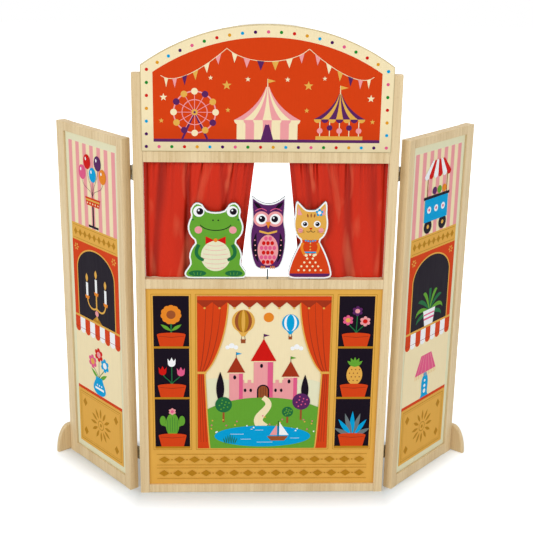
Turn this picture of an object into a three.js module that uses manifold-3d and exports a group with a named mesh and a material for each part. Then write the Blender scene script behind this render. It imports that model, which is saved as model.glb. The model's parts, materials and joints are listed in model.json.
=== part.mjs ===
// A child's puppet theatre: a framed centre panel with a stage opening, curtains on a rod and
// three stick puppets, and two framed wings that fold behind it on butt hinges.
// Millimetres. X to the right, Y to the back, Z up, the audience on the -Y side.
// The origin is on the floor, under the middle of the centre panel's thickness.
import * as THREE from 'three';
import { mergeVertices } from 'three/addons/utils/BufferGeometryUtils.js';
import Module from 'manifold-3d';

const wasm = await Module();
wasm.setup();

// Timber
const DEPTH = 18;
const ARRIS = 1.8;
const EASED = 0.4;
const SEAT = 0.3;
const OVERCUT = 1;
const TENON = 5.4;
const TENON_SHOULDER = 2;

// Centre panel, from the floor up
const CENTRE_WIDTH = 440;
const STILE_HEIGHT = 760;
const STILE_FACE = 16;
const BOTTOM_RAIL = 16;
const PICTURE_HEIGHT = 377.5;
const SILL_RAIL = 17;
const STAGE_HEIGHT = 204;
const TOP_RAIL = 18;

// Header board, on the top rail. It is rebated for the stiles, so that its edge laps their fronts.
const HEADER_THICKNESS = 12;
const HEADER_PROUD = 1.5;
const HEADER_LAP = 1.6;
const HEADER_SHOULDER = 140.2;
const HEADER_RISE = 66;
const HEADER_ROUND = 1.5;
const TONGUE_SHOULDER = 12;

// Picture boards, held in grooves
const BOARD = 4;
const BOARD_SETBACK = 4;
const GROOVE_DEPTH = 6;

// Wings
const WING_WIDTH = 207;
const WING_HEIGHT = 651;
const WING_HINGE_STILE = 16;
const WING_OUTER_STILE = 24;
const WING_TOP_RAIL = 15;
const WING_BOTTOM_RAIL = 22.5;
const FOLD_LEFT = 51.1;
const FOLD_RIGHT = 47.4;

// Butt hinges
const WING_GAP = 3;
const PIN_BEHIND = 3.5;
const HINGE_HEIGHT = 25;
const LEAF = 1;
const LEAF_WIDTH = 13;
const KNUCKLE_R = 3;
const KNUCKLE_BORE_R = 1.8;
const PIN_R = 1.45;
const PIN_HEAD_R = 2.4;
const PIN_HEAD = 0.8;
const KNUCKLE_PLAY = 0.35;
const HINGE_ABOVE_FLOOR = 71;
const HINGE_BELOW_WING_TOP = 59;
const HINGE_SCREW_SPREAD = 14;
const HINGE_SCREW_R = 1.25;
const HINGE_SCREW_HEAD_R = 2.5;
const HINGE_SCREW_LENGTH = 12;

// Feet on the wings' outer ends
const FOOT_THICKNESS = 10;
const FOOT_REACH = 26;
const FOOT_HEIGHT = 54;
const FOOT_BACK_HEIGHT = 46;
const FOOT_ROUND = 2.5;
const FOOT_SCREW_R = 1.7;
const FOOT_SCREW_HEAD_R = 3.4;
const FOOT_SCREW_LENGTH = 27;
const FOOT_SCREW_ZS = [18, 37];

// Curtain rod, in a rebate at the top rail's lower back edge
const ROD_R = 3;
const ROD_IN_STILE = 5;
const REBATE = 9.4;
const POCKET_WALL = 1;

// Curtains, each from its stile to a free inner edge
const CLOTH = 1.6;
const CURTAIN_CLEAR = 0.5;
const CURTAIN_STEPS = 46;
const CURTAINS = {
  left: { side: -1, top: 19.5, hem: 42.5, broad: 4.5, fine: 9, phase: 0.6 },
  right: { side: 1, top: 38, hem: 61, broad: 4, fine: 8, phase: 2.1 },
};
const FOLD_BROAD = 1.9;
const FOLD_FINE = 1;
const POCKET_GATHER = 0.35;

// Puppets: flat boards on sticks that stand in holes in the sill
const PUPPET_BOARD = 5;
const PUPPET_SETBACK = 2.5;
const STICK_R = 1.3;
const STICK_HOLE_R = 1.6;
const STICK_IN_SILL = 10;
const STICK_IN_PUPPET = 16;

// Heights of the rails' lower edges, and of the places between them
const PICTURE_Z = BOTTOM_RAIL;
const SILL_Z = PICTURE_Z + PICTURE_HEIGHT;
const STAGE_Z = SILL_Z + SILL_RAIL;
const TOP_RAIL_Z = STAGE_Z + STAGE_HEIGHT;
const HEADER_Z = TOP_RAIL_Z + TOP_RAIL + SEAT;
const INNER_X = CENTRE_WIDTH / 2 - STILE_FACE;
const FRONT = -DEPTH / 2;
const BACK = DEPTH / 2;
const BOARD_Y = [FRONT + BOARD_SETBACK, FRONT + BOARD_SETBACK + BOARD];
const GROOVE_Y = [BOARD_Y[0] - SEAT, BOARD_Y[1] + SEAT];
const LOWER_HINGE_Z = HINGE_ABOVE_FLOOR;
const UPPER_HINGE_Z = WING_HEIGHT - HINGE_BELOW_WING_TOP;
const PIN = { x: (CENTRE_WIDTH + WING_GAP) / 2, y: BACK + PIN_BEHIND };

// The rod's axis is as far below and in front of the rebate's two faces as its pocket needs
const ROD_Y = BACK - REBATE / 2;
const ROD_Z = TOP_RAIL_Z + REBATE / 2;
const BORE_R = ROD_R + SEAT;
const POCKET_R = BORE_R + POCKET_WALL;

const SIDES = [['left', -1], ['right', 1]];

// Solids: three.js makes each shape, manifold joins and cuts
function solid(geometry) {
  const bare = new THREE.BufferGeometry();
  bare.setAttribute('position', geometry.getAttribute('position'));
  if (geometry.index) bare.setIndex(geometry.index);
  const merged = mergeVertices(bare, 1e-4);
  const vertProperties = new Float32Array(merged.getAttribute('position').array);
  const triVerts = new Uint32Array(merged.index.array);
  return new wasm.Manifold(new wasm.Mesh({ numProp: 3, vertProperties, triVerts }));
}

function geometryOf(manifold) {
  const { vertProperties, triVerts } = manifold.getMesh();
  const geometry = new THREE.BufferGeometry();
  geometry.setAttribute('position', new THREE.BufferAttribute(new Float32Array(vertProperties), 3));
  geometry.setIndex([...triVerts]);
  geometry.computeVertexNormals();
  return geometry;
}

function cut(geometry, cutters) {
  const tool = cutters.map(solid).reduce((all, one) => all.add(one));
  return geometryOf(solid(geometry).subtract(tool));
}

function join(geometries) {
  return geometryOf(geometries.map(solid).reduce((all, one) => all.add(one)));
}

function box([x0, x1], [y0, y1], [z0, z1]) {
  const geometry = new THREE.BoxGeometry(Math.abs(x1 - x0), y1 - y0, z1 - z0);
  return geometry.translate((x0 + x1) / 2, (y0 + y1) / 2, (z0 + z1) / 2);
}

// A bar of timber lying along x or z. Its long edges are rounded: the two at its first
// coordinate, across the bar in the frame's plane, and the two at its last one.
function bar([x0, x1], [y0, y1], [z0, z1], along, [first, last]) {
  const upright = along === 'z';
  const width = upright ? Math.abs(x1 - x0) : z1 - z0;
  const length = upright ? z1 - z0 : Math.abs(x1 - x0);
  const lastIsRight = upright && x1 > x0;
  const [right, left] = lastIsRight ? [last, first] : [first, last];
  const corner = (sideways, back, radius, turn) => [
    sideways * (width / 2 - radius), back * ((y1 - y0) / 2 - radius),
    radius, turn * Math.PI / 2, (turn + 1) * Math.PI / 2];
  const shape = new THREE.Shape();
  shape.absarc(...corner(1, 1, right, 0));
  shape.absarc(...corner(-1, 1, left, 1));
  shape.absarc(...corner(-1, -1, left, 2));
  shape.absarc(...corner(1, -1, right, 3));
  shape.closePath();
  const geometry = new THREE.ExtrudeGeometry(shape, {
    depth: length, bevelEnabled: false, curveSegments: 2,
  });
  geometry.translate(0, 0, -length / 2);
  if (!upright) geometry.rotateY(Math.PI / 2);
  return geometry.translate((x0 + x1) / 2, (y0 + y1) / 2, (z0 + z1) / 2);
}

// A round rod along x or z, from one end to the other, its axis at the two other coordinates
function rod(radius, axis, [from, to], [a, b], sides = 12) {
  const geometry = new THREE.CylinderGeometry(radius, radius, Math.abs(to - from), sides);
  const middle = (from + to) / 2;
  if (axis === 'x') return geometry.rotateZ(Math.PI / 2).translate(middle, a, b);
  return geometry.rotateX(Math.PI / 2).translate(a, b, middle);
}

// A countersunk screw, or with play the hole for one. Its point is along x by dir, or with no
// dir to the front.
function screw([x, y, z], dir, size, play = 0) {
  const { radius, head, length } = size;
  const end = length + play;
  const taper = play ? end : length - radius;
  const profile = [
    [0, 0], [head + play, 0], [radius + play, head - radius], [radius + play, taper], [0, end],
  ].map(([r, depth]) => new THREE.Vector2(r, depth));
  const geometry = new THREE.LatheGeometry(profile, SCREW_SIDES);
  if (dir) geometry.rotateZ(dir > 0 ? -Math.PI / 2 : Math.PI / 2);
  else geometry.rotateX(Math.PI);
  return geometry.translate(x, y, z);
}

const SCREW_SIDES = 8;
const HINGE_SCREW = {
  radius: HINGE_SCREW_R, head: HINGE_SCREW_HEAD_R, length: HINGE_SCREW_LENGTH,
};
const FOOT_SCREW = { radius: FOOT_SCREW_R, head: FOOT_SCREW_HEAD_R, length: FOOT_SCREW_LENGTH };

// Materials
const looks = {
  wood: { color: 0xe3c796, roughness: 0.6 },
  header: { color: 0xdb4a1b, roughness: 0.45 },
  picture: { color: 0xecc98a, roughness: 0.5 },
  curtain: { color: 0xc0392b, roughness: 0.6 },
  puppet: { color: 0xf2efe6, roughness: 0.5 },
  stick: { color: 0xcda877, roughness: 0.6 },
  stickPaint: { color: 0x66706c, roughness: 0.5 },
  hinge: { color: 0xa89a6c, roughness: 0.35, metalness: 1 },
  screw: { color: 0xb9b9b4, roughness: 0.3, metalness: 1 },
};

// A rail between two stiles, with a stub tenon in each stile's groove
function rail([x0, x1], [y0, y1], [z0, z1], boardY, edges) {
  const past = Math.sign(x1 - x0) * (TENON + SEAT);
  const tenons = box([x0 - past, x1 + past], boardY, [z0 + TENON_SHOULDER, z1 - TENON_SHOULDER]);
  return join([bar([x0, x1], [y0, y1], [z0, z1], 'x', edges), tenons]);
}

function piece(group, name, look, geometry) {
  const mesh = new THREE.Mesh(geometry, new THREE.MeshStandardMaterial(looks[look]));
  mesh.name = name;
  group.add(mesh);
  return mesh;
}

// Centre panel
const centre = new THREE.Group();
const stileX = CENTRE_WIDTH / 2;
const railX = INNER_X - SEAT;

const headerY = FRONT - HEADER_PROUD;
const headerTongueZ = [HEADER_Z + TONGUE_SHOULDER, STILE_HEIGHT - TONGUE_SHOULDER];

// A hinge leaf lies on the back of each stile, held by two screws from behind
const HINGE_ZS = [LOWER_HINGE_Z, UPPER_HINGE_Z];
const LEAF_FACE = SEAT + LEAF;
const SCREW_IN = LEAF_WIDTH / 2;
const screwZs = HINGE_ZS.flatMap((z) => [z - HINGE_SCREW_SPREAD / 2, z + HINGE_SCREW_SPREAD / 2]);

function hingeScrewPlaces(x, back) {
  return screwZs.map((z) => [x, back + LEAF_FACE, z]);
}

const upperGrooveZ = [TOP_RAIL_Z + TENON_SHOULDER - SEAT, headerTongueZ[1] + SEAT];
const lowerGrooveZ = [TENON_SHOULDER - SEAT, STAGE_Z - TENON_SHOULDER + SEAT];
for (const [name, side] of SIDES) {
  const stile = bar(
    [side * INNER_X, side * stileX], [FRONT, BACK], [0, STILE_HEIGHT], 'z', [EASED, ARRIS]);
  const grooveX = [side * (INNER_X - OVERCUT), side * (INNER_X + GROOVE_DEPTH)];
  const rodHole = rod(BORE_R, 'x',
    [side * (INNER_X - OVERCUT), side * (INNER_X + ROD_IN_STILE + SEAT)], [ROD_Y, ROD_Z]);
  piece(centre, `centre_${name}_stile`, 'wood', cut(stile, [
    box(grooveX, GROOVE_Y, lowerGrooveZ), box(grooveX, GROOVE_Y, upperGrooveZ), rodHole,
    ...hingeScrewPlaces(side * (stileX - SCREW_IN), BACK)
      .map((at) => screw(at, 0, HINGE_SCREW, SEAT)),
  ]));
}

const grooveEnd = INNER_X + GROOVE_DEPTH;
piece(centre, 'centre_bottom_rail', 'wood', cut(
  rail([-railX, railX], [FRONT, BACK], [0, BOTTOM_RAIL], BOARD_Y, [ARRIS, EASED]),
  [box([-grooveEnd, grooveEnd], GROOVE_Y, [PICTURE_Z - GROOVE_DEPTH, PICTURE_Z + OVERCUT])]));

// Puppets: half outlines in the upright plane, from the middle of the foot to the top
const PUPPETS = {
  frog: {
    x: -84, base: 1.5,
    half: [[0, 0], [30, 0], [48, 1], [53, 9], [48, 18], [43, 27], [45, 40], [41, 54], [34, 65],
      [43, 76], [47, 90], [44, 103], [41, 110], [42, 122], [34, 133], [23, 131], [15, 120],
      [0, 117]],
  },
  owl: {
    x: 4.5, base: 18,
    half: [[0, 0], [14, 0], [21, 4], [27, 18], [31, 42], [31, 66], [28, 82], [28, 98], [29, 112],
      [28, 128], [19, 122], [9, 117], [0, 116]],
  },
  cat: {
    x: 76.5, base: 1.5,
    half: [[0, 0], [26, 0], [36, 3], [37, 13], [31, 34], [22, 55], [16, 67], [23, 75], [28, 87],
      [29, 101], [27, 114], [27, 127], [24, 137], [15, 128], [8, 122], [0, 121]],
  },
};
const PUPPET_Y = FRONT + PUPPET_SETBACK;
const STICK_Y = PUPPET_Y + PUPPET_BOARD / 2;

piece(centre, 'centre_sill_rail', 'wood', cut(
  rail([-railX, railX], [FRONT, BACK], [SILL_Z, STAGE_Z], BOARD_Y, [EASED, EASED]), [
    box([-grooveEnd, grooveEnd], GROOVE_Y, [SILL_Z - OVERCUT, SILL_Z + GROOVE_DEPTH]),
    ...Object.values(PUPPETS).map(({ x }) => rod(
      STICK_HOLE_R, 'z', [STAGE_Z - STICK_IN_SILL - SEAT, STAGE_Z + OVERCUT], [x, STICK_Y], 10)),
  ]));

piece(centre, 'centre_top_rail', 'wood', cut(
  rail([-railX, railX], [FRONT, BACK], [TOP_RAIL_Z, TOP_RAIL_Z + TOP_RAIL], BOARD_Y,
    [EASED, EASED]),
  [box([-INNER_X, INNER_X], [BACK - REBATE, BACK + OVERCUT],
    [TOP_RAIL_Z - OVERCUT, TOP_RAIL_Z + REBATE])]));

const boardX = INNER_X + TENON;
piece(centre, 'lower_picture_board', 'picture', box([-boardX, boardX], BOARD_Y,
  [PICTURE_Z - TENON, SILL_Z + TENON]));

// The header's arch rises between its two shoulders
function headerBoard() {
  const half = railX + HEADER_LAP;
  const radius = (half * half + HEADER_RISE * HEADER_RISE) / (2 * HEADER_RISE);
  const middle = HEADER_SHOULDER + HEADER_RISE - radius;
  const end = Math.atan2(HEADER_SHOULDER - middle, half);
  const shape = new THREE.Shape();
  shape.moveTo(-half, 0);
  shape.lineTo(half, 0);
  shape.lineTo(half, HEADER_SHOULDER);
  shape.absarc(0, middle, radius, end, Math.PI - end);
  shape.closePath();
  const board = new THREE.ExtrudeGeometry(shape, {
    depth: HEADER_THICKNESS - 2 * HEADER_ROUND, curveSegments: 12, bevelThickness: HEADER_ROUND,
    bevelSize: HEADER_ROUND, bevelOffset: -HEADER_ROUND, bevelSegments: 2,
  });
  board.rotateX(Math.PI / 2);
  return board.translate(0, headerY + HEADER_THICKNESS - HEADER_ROUND, HEADER_Z);
}
const rebates = SIDES.map(([, side]) => box(
  [side * railX, side * (railX + HEADER_LAP + OVERCUT)], [FRONT - SEAT, BACK],
  [HEADER_Z - OVERCUT, STILE_HEIGHT + SEAT]));
piece(centre, 'header_board', 'header', join([
  cut(headerBoard(), rebates), box([-INNER_X - TENON, INNER_X + TENON], BOARD_Y, headerTongueZ),
]));

const rodEnd = INNER_X + ROD_IN_STILE;
piece(centre, 'curtain_rod', 'stick', rod(ROD_R, 'x', [-rodEnd, rodEnd], [ROD_Y, ROD_Z]));

// A gathered curtain: a folded sheet under a sewn pocket that goes round the rod
function foldAt(curtain, share, drop) {
  const turn = 2 * Math.PI * share;
  const broad = Math.sin(curtain.broad * turn + curtain.phase) * FOLD_BROAD * (0.45 + 0.55 * drop);
  const fine = Math.sin(curtain.fine * turn + 1.7 * Math.sin(turn)) * FOLD_FINE * (1 - 0.6 * drop);
  return broad + fine;
}

function curtainSheet(curtain) {
  const hemZ = STAGE_Z + CURTAIN_CLEAR;
  const topZ = ROD_Z - BORE_R - POCKET_WALL / 2;
  const levels = [0, 0.07, 0.35, 0.7, 1];
  const positions = [];
  const index = [];
  for (const drop of levels) {
    const z = topZ + (hemZ - topZ) * drop;
    const inner = curtain.top + (curtain.hem - curtain.top) * drop;
    for (let i = 0; i <= CURTAIN_STEPS; i += 1) {
      const share = i / CURTAIN_STEPS;
      const x = curtain.side * (INNER_X - SEAT + (inner - INNER_X + SEAT) * share);
      const y = ROD_Y + foldAt(curtain, share, drop) * (drop ? 1 : POCKET_GATHER);
      positions.push(x, y - CLOTH / 2, z, x, y + CLOTH / 2, z);
    }
  }
  const columns = CURTAIN_STEPS + 1;
  const at = (level, column, face) => 2 * (level * columns + column) + face;
  const quad = (a, b, c, d) => (curtain.side < 0
    ? index.push(a, b, c, a, c, d) : index.push(a, c, b, a, d, c));
  const last = levels.length - 1;
  const end = CURTAIN_STEPS;
  for (let i = 0; i < CURTAIN_STEPS; i += 1) {
    for (let k = 0; k < last; k += 1) {
      quad(at(k, i, 0), at(k + 1, i, 0), at(k + 1, i + 1, 0), at(k, i + 1, 0));
      quad(at(k, i, 1), at(k, i + 1, 1), at(k + 1, i + 1, 1), at(k + 1, i, 1));
    }
    quad(at(0, i, 0), at(0, i + 1, 0), at(0, i + 1, 1), at(0, i, 1));
    quad(at(last, i, 0), at(last, i, 1), at(last, i + 1, 1), at(last, i + 1, 0));
  }
  for (let k = 0; k < last; k += 1) {
    quad(at(k, 0, 0), at(k, 0, 1), at(k + 1, 0, 1), at(k + 1, 0, 0));
    quad(at(k, end, 0), at(k + 1, end, 0), at(k + 1, end, 1), at(k, end, 1));
  }
  const geometry = new THREE.BufferGeometry();
  geometry.setAttribute('position', new THREE.Float32BufferAttribute(positions, 3));
  geometry.setIndex(index);
  return geometry;
}

for (const [name, curtain] of Object.entries(CURTAINS)) {
  const ends = [curtain.side * (INNER_X - SEAT), curtain.side * curtain.top];
  const past = [curtain.side * (INNER_X + OVERCUT), curtain.side * (curtain.top - OVERCUT)];
  const pocket = rod(POCKET_R, 'x', ends, [ROD_Y, ROD_Z]);
  piece(centre, `${name}_curtain`, 'curtain', cut(
    join([curtainSheet(curtain), pocket]), [rod(BORE_R, 'x', past, [ROD_Y, ROD_Z])]));
}

// A puppet's board is its half outline, rounded through the points and mirrored
function puppetBoard(puppet) {
  const right = puppet.half.slice(1, -1);
  const left = [...right].reverse().map(([x, z]) => [-x, z]);
  const top = puppet.half[puppet.half.length - 1];
  const shape = new THREE.Shape();
  shape.moveTo(0, 0);
  shape.lineTo(...right[0]);
  shape.splineThru([...right.slice(1), top, ...left]
    .map(([x, z]) => new THREE.Vector2(x, z)));
  shape.closePath();
  const board = new THREE.ExtrudeGeometry(shape, {
    depth: PUPPET_BOARD, bevelEnabled: false, curveSegments: 2,
  });
  board.rotateX(Math.PI / 2);
  return board.translate(puppet.x, PUPPET_Y + PUPPET_BOARD, STAGE_Z + puppet.base);
}

for (const [name, puppet] of Object.entries(PUPPETS)) {
  const low = STAGE_Z - STICK_IN_SILL;
  const high = STAGE_Z + puppet.base + STICK_IN_PUPPET;
  piece(centre, `${name}_puppet`, 'puppet', cut(puppetBoard(puppet), [
    rod(STICK_HOLE_R, 'z', [STAGE_Z, high + SEAT], [puppet.x, STICK_Y], 10)]));
  piece(centre, `${name}_stick`, 'stickPaint', rod(STICK_R, 'z', [low, high], [puppet.x, STICK_Y], 10));
}

// Hinges: each leaf ends in its share of the knuckle. Hinge shapes are drawn about the pin's
// axis, side by side as when the wing stands in line.
const third = HINGE_HEIGHT / 3;

function knuckle(z0, z1) {
  const ring = new THREE.Shape();
  ring.absarc(0, 0, KNUCKLE_R, 0, 2 * Math.PI);
  const bore = new THREE.Path();
  bore.absarc(0, 0, KNUCKLE_BORE_R, 0, 2 * Math.PI, true);
  ring.holes.push(bore);
  return new THREE.ExtrudeGeometry(ring, {
    depth: z1 - z0, bevelEnabled: false, curveSegments: 8,
  }).translate(0, 0, z0);
}

function leaf(side, mine, theirs, z) {
  const face = LEAF_FACE - PIN_BEHIND;
  const plate = box([0, side * (WING_GAP / 2 + LEAF_WIDTH)],
    [face - LEAF, face], [z, z + HINGE_HEIGHT]);
  const clear = theirs.map(([z0, z1]) => (
    rod(KNUCKLE_R + KNUCKLE_PLAY, 'z', [z + z0, z + z1], [0, 0], 16)));
  const holes = [-1, 1].map((up) => screw(
    [side * (WING_GAP / 2 + SCREW_IN), face,
      z + HINGE_HEIGHT / 2 + up * HINGE_SCREW_SPREAD / 2], 0, HINGE_SCREW, SEAT));
  const rings = mine.map(([z0, z1]) => knuckle(z + z0, z + z1));
  return join([cut(plate, [...clear, ...holes]), ...rings]);
}

const OUTER_KNUCKLES = [[0, third - KNUCKLE_PLAY / 2], [2 * third + KNUCKLE_PLAY / 2, HINGE_HEIGHT]];
const MIDDLE_KNUCKLE = [[third + KNUCKLE_PLAY / 2, 2 * third - KNUCKLE_PLAY / 2]];
const OUTER_CLEAR = [
  [-OVERCUT, third + KNUCKLE_PLAY / 2], [2 * third - KNUCKLE_PLAY / 2, HINGE_HEIGHT + OVERCUT],
];
const MIDDLE_CLEAR = [[third - KNUCKLE_PLAY / 2, 2 * third + KNUCKLE_PLAY / 2]];

function hingePin(z) {
  const low = -SEAT - PIN_HEAD;
  const high = HINGE_HEIGHT + SEAT + PIN_HEAD;
  const profile = [
    [0, low], [PIN_HEAD_R, low], [PIN_HEAD_R, -SEAT], [PIN_R, -SEAT],
    [PIN_R, HINGE_HEIGHT + SEAT], [PIN_HEAD_R, HINGE_HEIGHT + SEAT], [PIN_HEAD_R, high], [0, high],
  ].map(([r, h]) => new THREE.Vector2(r, h));
  return new THREE.LatheGeometry(profile, 12).rotateX(Math.PI / 2).translate(0, 0, z);
}

const HINGES = [['lower', LOWER_HINGE_Z], ['upper', UPPER_HINGE_Z]];
for (const [name, side] of SIDES) {
  const fixed = new THREE.Group();
  fixed.position.set(side * PIN.x, PIN.y, 0);
  for (const [level, middle] of HINGES) {
    const z = middle - HINGE_HEIGHT / 2;
    piece(fixed, `${name}_${level}_hinge_centre_leaf`, 'hinge',
      leaf(-side, OUTER_KNUCKLES, MIDDLE_CLEAR, z));
    piece(fixed, `${name}_${level}_hinge_pin`, 'screw', hingePin(z));
  }
  centre.add(fixed);
  hingeScrewPlaces(side * (stileX - SCREW_IN), BACK).forEach((at, i) => {
    piece(centre, `${name}_centre_hinge_screw_${i + 1}`, 'screw', screw(at, 0, HINGE_SCREW));
  });
}

// Wings: drawn in line with the centre panel about the hinge pin, then folded back
function wing(name, side) {
  const group = new THREE.Group();
  const start = WING_GAP / 2;
  const u = (distance) => side * (start + distance);
  const front = FRONT - PIN.y;
  const back = BACK - PIN.y;
  const grooveY = GROOVE_Y.map((y) => y - PIN.y);
  const boardY = BOARD_Y.map((y) => y - PIN.y);
  const innerEdge = WING_HINGE_STILE;
  const outerEdge = WING_WIDTH - WING_OUTER_STILE;
  const openTop = WING_HEIGHT - WING_TOP_RAIL;
  const grooveZ = [TENON_SHOULDER - SEAT, WING_HEIGHT - TENON_SHOULDER + SEAT];
  const grooveIn = [u(innerEdge - GROOVE_DEPTH), u(outerEdge + GROOVE_DEPTH)];

  const screwAt = hingeScrewPlaces(u(SCREW_IN), back);
  piece(group, `${name}_wing_hinge_stile`, 'wood', cut(
    bar([u(0), u(innerEdge)], [front, back], [0, WING_HEIGHT], 'z', [ARRIS, EASED]), [
      box([grooveIn[0], u(innerEdge + OVERCUT)], grooveY, grooveZ),
      ...screwAt.map((at) => screw(at, 0, HINGE_SCREW, SEAT)),
    ]));
  const footScrewAt = FOOT_SCREW_ZS.map((z) => (
    [u(WING_WIDTH + SEAT + FOOT_THICKNESS), (front + back) / 2, z]));
  const footHoles = footScrewAt.map((at) => screw(at, -side, FOOT_SCREW, SEAT));
  piece(group, `${name}_wing_outer_stile`, 'wood', cut(
    bar([u(outerEdge), u(WING_WIDTH)], [front, back], [0, WING_HEIGHT], 'z', [EASED, ARRIS]),
    [box([u(outerEdge - OVERCUT), grooveIn[1]], grooveY, grooveZ), ...footHoles]));

  const across = [u(innerEdge + SEAT), u(outerEdge - SEAT)];
  piece(group, `${name}_wing_bottom_rail`, 'wood', cut(
    rail(across, [front, back], [0, WING_BOTTOM_RAIL], boardY, [ARRIS, EASED]),
    [box(grooveIn, grooveY, [WING_BOTTOM_RAIL - GROOVE_DEPTH, WING_BOTTOM_RAIL + OVERCUT])]));
  piece(group, `${name}_wing_top_rail`, 'wood', cut(
    rail(across, [front, back], [openTop, WING_HEIGHT], boardY, [EASED, ARRIS]),
    [box(grooveIn, grooveY, [openTop - OVERCUT, openTop + GROOVE_DEPTH])]));

  piece(group, `${name}_wing_picture_board`, 'picture', box(
    [u(innerEdge - TENON), u(outerEdge + TENON)], boardY,
    [WING_BOTTOM_RAIL - TENON, openTop + TENON]));

  for (const [level, middle] of HINGES) {
    piece(group, `${name}_${level}_hinge_wing_leaf`, 'hinge',
      leaf(side, MIDDLE_KNUCKLE, OUTER_CLEAR, middle - HINGE_HEIGHT / 2));
  }
  screwAt.forEach((at, i) => {
    piece(group, `${name}_wing_hinge_screw_${i + 1}`, 'screw', screw(at, 0, HINGE_SCREW));
  });

  piece(group, `${name}_foot`, 'wood', cut(foot(u(WING_WIDTH + SEAT), side, front, back), footHoles));
  footScrewAt.forEach((at, i) => {
    piece(group, `${name}_foot_screw_${i + 1}`, 'screw', screw(at, -side, FOOT_SCREW));
  });
  return group;
}

// A fin across the wing's end: flat over the stile, a quarter oval in front of it
function foot(x, side, front, back) {
  const shape = new THREE.Shape();
  shape.moveTo(back, 0);
  shape.lineTo(back, FOOT_BACK_HEIGHT);
  shape.quadraticCurveTo(back, FOOT_HEIGHT, front + DEPTH / 2, FOOT_HEIGHT);
  shape.lineTo(front, FOOT_HEIGHT);
  shape.absellipse(front, 0, FOOT_REACH, FOOT_HEIGHT, Math.PI / 2, Math.PI);
  shape.closePath();
  const fin = new THREE.ExtrudeGeometry(shape, {
    depth: FOOT_THICKNESS - 2 * FOOT_ROUND, curveSegments: 7, bevelThickness: FOOT_ROUND,
    bevelSize: FOOT_ROUND, bevelOffset: -FOOT_ROUND, bevelSegments: 2,
  });
  fin.translate(0, 0, FOOT_ROUND - FOOT_THICKNESS / 2);
  fin.rotateX(Math.PI / 2).rotateZ(Math.PI / 2);
  return fin.translate(x + side * FOOT_THICKNESS / 2, 0, 0);
}

const theatre = new THREE.Group();
theatre.add(centre);
for (const [name, side] of SIDES) {
  const group = wing(name, side);
  const fold = side < 0 ? FOLD_LEFT : FOLD_RIGHT;
  group.position.set(side * PIN.x, PIN.y, 0);
  group.rotation.z = side * THREE.MathUtils.degToRad(fold);
  theatre.add(group);
}

export default theatre;
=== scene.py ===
# %% [markdown]
# A wooden puppet theatre for children: a framed centre panel with an arched, printed header, a
# stage opening with gathered curtains and stick puppets, a printed board below, and two framed
# wings that fold behind it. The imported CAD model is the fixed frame. Everything here dresses it:
# the timber keeps its CAD shape and gets a material, and prints and cloth are added to it.

# %% Load the frame
import json
import math

import bmesh
import bpy
from mathutils import Matrix, Vector, noise


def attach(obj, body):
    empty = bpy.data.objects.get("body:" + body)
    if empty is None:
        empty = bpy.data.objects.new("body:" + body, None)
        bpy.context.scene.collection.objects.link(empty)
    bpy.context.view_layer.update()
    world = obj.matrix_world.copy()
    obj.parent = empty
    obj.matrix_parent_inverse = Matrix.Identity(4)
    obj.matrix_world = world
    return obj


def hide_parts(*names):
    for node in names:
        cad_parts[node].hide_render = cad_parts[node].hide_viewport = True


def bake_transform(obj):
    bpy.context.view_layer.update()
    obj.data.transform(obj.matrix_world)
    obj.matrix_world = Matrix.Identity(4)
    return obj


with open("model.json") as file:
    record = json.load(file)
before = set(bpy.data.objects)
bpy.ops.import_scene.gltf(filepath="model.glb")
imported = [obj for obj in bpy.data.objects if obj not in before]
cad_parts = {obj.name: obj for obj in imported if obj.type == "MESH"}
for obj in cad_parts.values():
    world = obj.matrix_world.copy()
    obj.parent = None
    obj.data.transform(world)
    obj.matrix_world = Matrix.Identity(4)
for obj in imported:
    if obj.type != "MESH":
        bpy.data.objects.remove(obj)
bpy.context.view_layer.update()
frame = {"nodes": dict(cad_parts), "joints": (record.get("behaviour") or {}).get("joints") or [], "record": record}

MM = 0.001
JOINTS = {joint["name"]: joint for joint in frame["joints"]}
print("joints:", sorted(JOINTS))

# %% [markdown]
# The prints on a wing are drawn while the wing stands in line with the centre panel, where its
# plane is simply x and z. Each panel has a matrix that takes such a drawing to where the panel
# stands. The fold joint holds all that it needs: the pin's place, its axis, and the angle back
# to the in-line pose, which is the joint's lower limit.

# %% Panels and their sight openings
def panel_matrix(joint):
    pin = Vector(joint["pos_m"])
    turn = Matrix.Rotation(math.radians(-joint["range_deg"][0]), 4, Vector(joint["axis"]))
    return Matrix.Translation(pin) @ turn @ Matrix.Translation(-pin)


PANELS = {
    "centre": Matrix.Identity(4),
    "left": panel_matrix(JOINTS["left_wing_fold"]),
    "right": panel_matrix(JOINTS["right_wing_fold"]),
}
BODIES = {"centre": "centre_panel", "left": "left_wing", "right": "right_wing"}


def flat_box(node, panel):
    """A node's lowest and highest corners, in millimetres, with its panel in line."""
    back = PANELS[panel].inverted()
    points = [(back @ vertex.co) / MM for vertex in frame["nodes"][node].data.vertices]
    low, high = ([pick(p[i] for p in points) for i in range(3)] for pick in (min, max))
    return Vector(low), Vector(high)


def sight(panel, first, last, below, above):
    """The opening that four members leave: (x0, x1, z0, z1) in millimetres."""
    boxes = [flat_box(node, panel) for node in (first, last, below, above)]
    return boxes[0][1].x, boxes[1][0].x, boxes[2][1].z, boxes[3][0].z


LOWER = sight("centre", "centre_left_stile", "centre_right_stile",
              "centre_bottom_rail", "centre_sill_rail")
WINGS = {
    "left": sight("left", "left_wing_outer_stile", "left_wing_hinge_stile",
                  "left_wing_bottom_rail", "left_wing_top_rail"),
    "right": sight("right", "right_wing_hinge_stile", "right_wing_outer_stile",
                   "right_wing_bottom_rail", "right_wing_top_rail"),
}
print("lower board opening:", [round(v, 1) for v in LOWER])
print("wing openings:", {k: [round(v, 1) for v in box] for k, box in WINGS.items()})

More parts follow.
